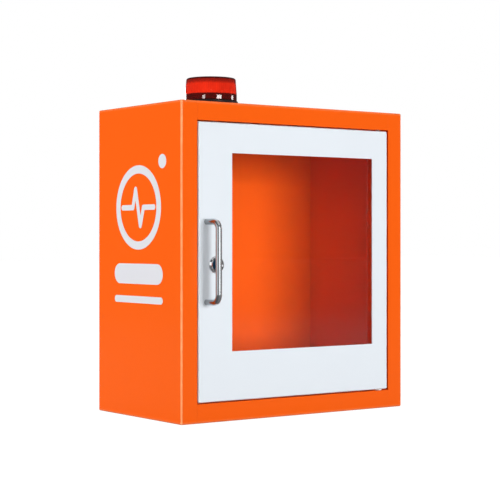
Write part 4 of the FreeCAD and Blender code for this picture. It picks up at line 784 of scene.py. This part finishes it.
softboxes = [  # name, place, width and height, brightness
    ("front_softbox", stand(0.5, 2.45, 0.08), (1.35, 0.9), 15.8),
    ("left_softbox", stand(-96, 2.3, 0.1), (1.1, 0.9), 17.0),
    ("right_softbox", stand(97, 2.3, 0.1), (1.1, 0.9), 16.0),
    ("back_softbox", stand(178, 2.4, 0.1), (1.2, 0.9), 16.0),
    ("top_softbox", (0.1, 0.45, 2.4), (1.6, 1.0), 10.0),
]
lens_cards = [  # azimuth, width, height, brightness
    (0.5, 1.0, 0.1, 15.0), (-67, 0.5, 0.08, 9.0), (75, 0.6, 0.1, 9.0), (165, 0.9, 0.12, 12.0),
]
silks = [  # name, azimuth, width, brightness
    ("left_silk", -92, 3.5, 0.85 * SILK), ("front_silk", -5, 2.3, SILK), ("right_silk", 80, 1.3, 0.35 * SILK),
    ("back_silk", 170, 3.0, 0.5 * SILK),
]
for name, place, size, brightness in softboxes:
    lamp = softbox(name, place, CENTRE, size, brightness)
    lamp.visible_glossy = False
    link_light(lamp, BARE, "EXCLUDE")
for azimuth, width, height, brightness in lens_cards:
    place = stand(azimuth, 2.45, LENS_CARD_HEIGHT)
    link_light(softbox(f"lens_card_{azimuth}", place, CENTRE, (width, height), brightness), BARE, "EXCLUDE")
for name, azimuth, width, brightness in silks:
    silk = softbox(name, stand(azimuth, 2.4, 0.1), CENTRE, (width, SILK_HEIGHT), brightness)
    link_light(silk, BARE, "INCLUDE")
for name, z in ("roof_silk", 2.2), ("floor_silk", -2.0):
    silk = softbox(name, (CENTRE.x, CENTRE.y - 0.6, z), CENTRE, (3.0, 3.0), 0.35 * SILK)
    link_light(silk, BARE, "INCLUDE")

inside_lamp = softbox("inside_lamp", (-0.01, body_low.y + 0.022, 0.0), (0.11, 0, 0.0), (0.13, 0.18), 0.6)
inside_lamp.data.spread = math.radians(90)
inside_lamp.visible_glossy = False

# %% Room and backdrop
ROOM_LIGHT = 0.06  # what lights and is mirrored, where 1 is the white page

world = bpy.data.worlds.new("room")
bpy.context.scene.world = world
world.use_nodes = True
sky = world.node_tree
sky.nodes.clear()
seen = sky.nodes.new("ShaderNodeLightPath")
shown = sky.nodes.new("ShaderNodeMix")
shown.data_type = "RGBA"
shown.inputs[6].default_value = (ROOM_LIGHT, ROOM_LIGHT, ROOM_LIGHT * 1.02, 1)
shown.inputs[7].default_value = (1, 1, 1, 1)
backdrop = sky.nodes.new("ShaderNodeBackground")
room_output = sky.nodes.new("ShaderNodeOutputWorld")
sky.links.new(seen.outputs["Is Camera Ray"], shown.inputs[0])
sky.links.new(shown.outputs[2], backdrop.inputs["Color"])
sky.links.new(backdrop.outputs[0], room_output.inputs["Surface"])
print("room light:", ROOM_LIGHT)

# %% Floor
FLOOR_HALF = 12.0
PAPER = (0.12, 0.12, 0.12)  # dim, so that it throws little light back up
PAGE_GLOW = 1.2
PAGE_SHARE = 0.86  # of what the camera sees. The rest is the paper with its faint shadow.

sheet = bmesh.new()
bmesh.ops.create_grid(sheet, x_segments=1, y_segments=1, size=FLOOR_HALF)
floor_mesh = bpy.data.meshes.new("floor")
sheet.to_mesh(floor_mesh)
sheet.free()
floor = bpy.data.objects.new("floor", floor_mesh)
floor.location = (CENTRE.x, CENTRE.y, FLOOR_Z)
bpy.context.scene.collection.objects.link(floor)
paper = Finish("white paper")
lit = paper.surface(Base_Color=PAPER, Roughness=0.9, Emission_Color=(1, 1, 1), Emission_Strength=ROOM_LIGHT)
bright = paper.node("Emission", {}, {"Color": (1, 1, 1), "Strength": PAGE_GLOW})
camera_ray = paper.node("LightPath", output="Is Camera Ray")
dress(floor, paper.done(paper.node("MixShader", {}, {0: camera_ray * PAGE_SHARE, 1: lit, 2: bright})))
print("floor at", round(FLOOR_Z, 4))
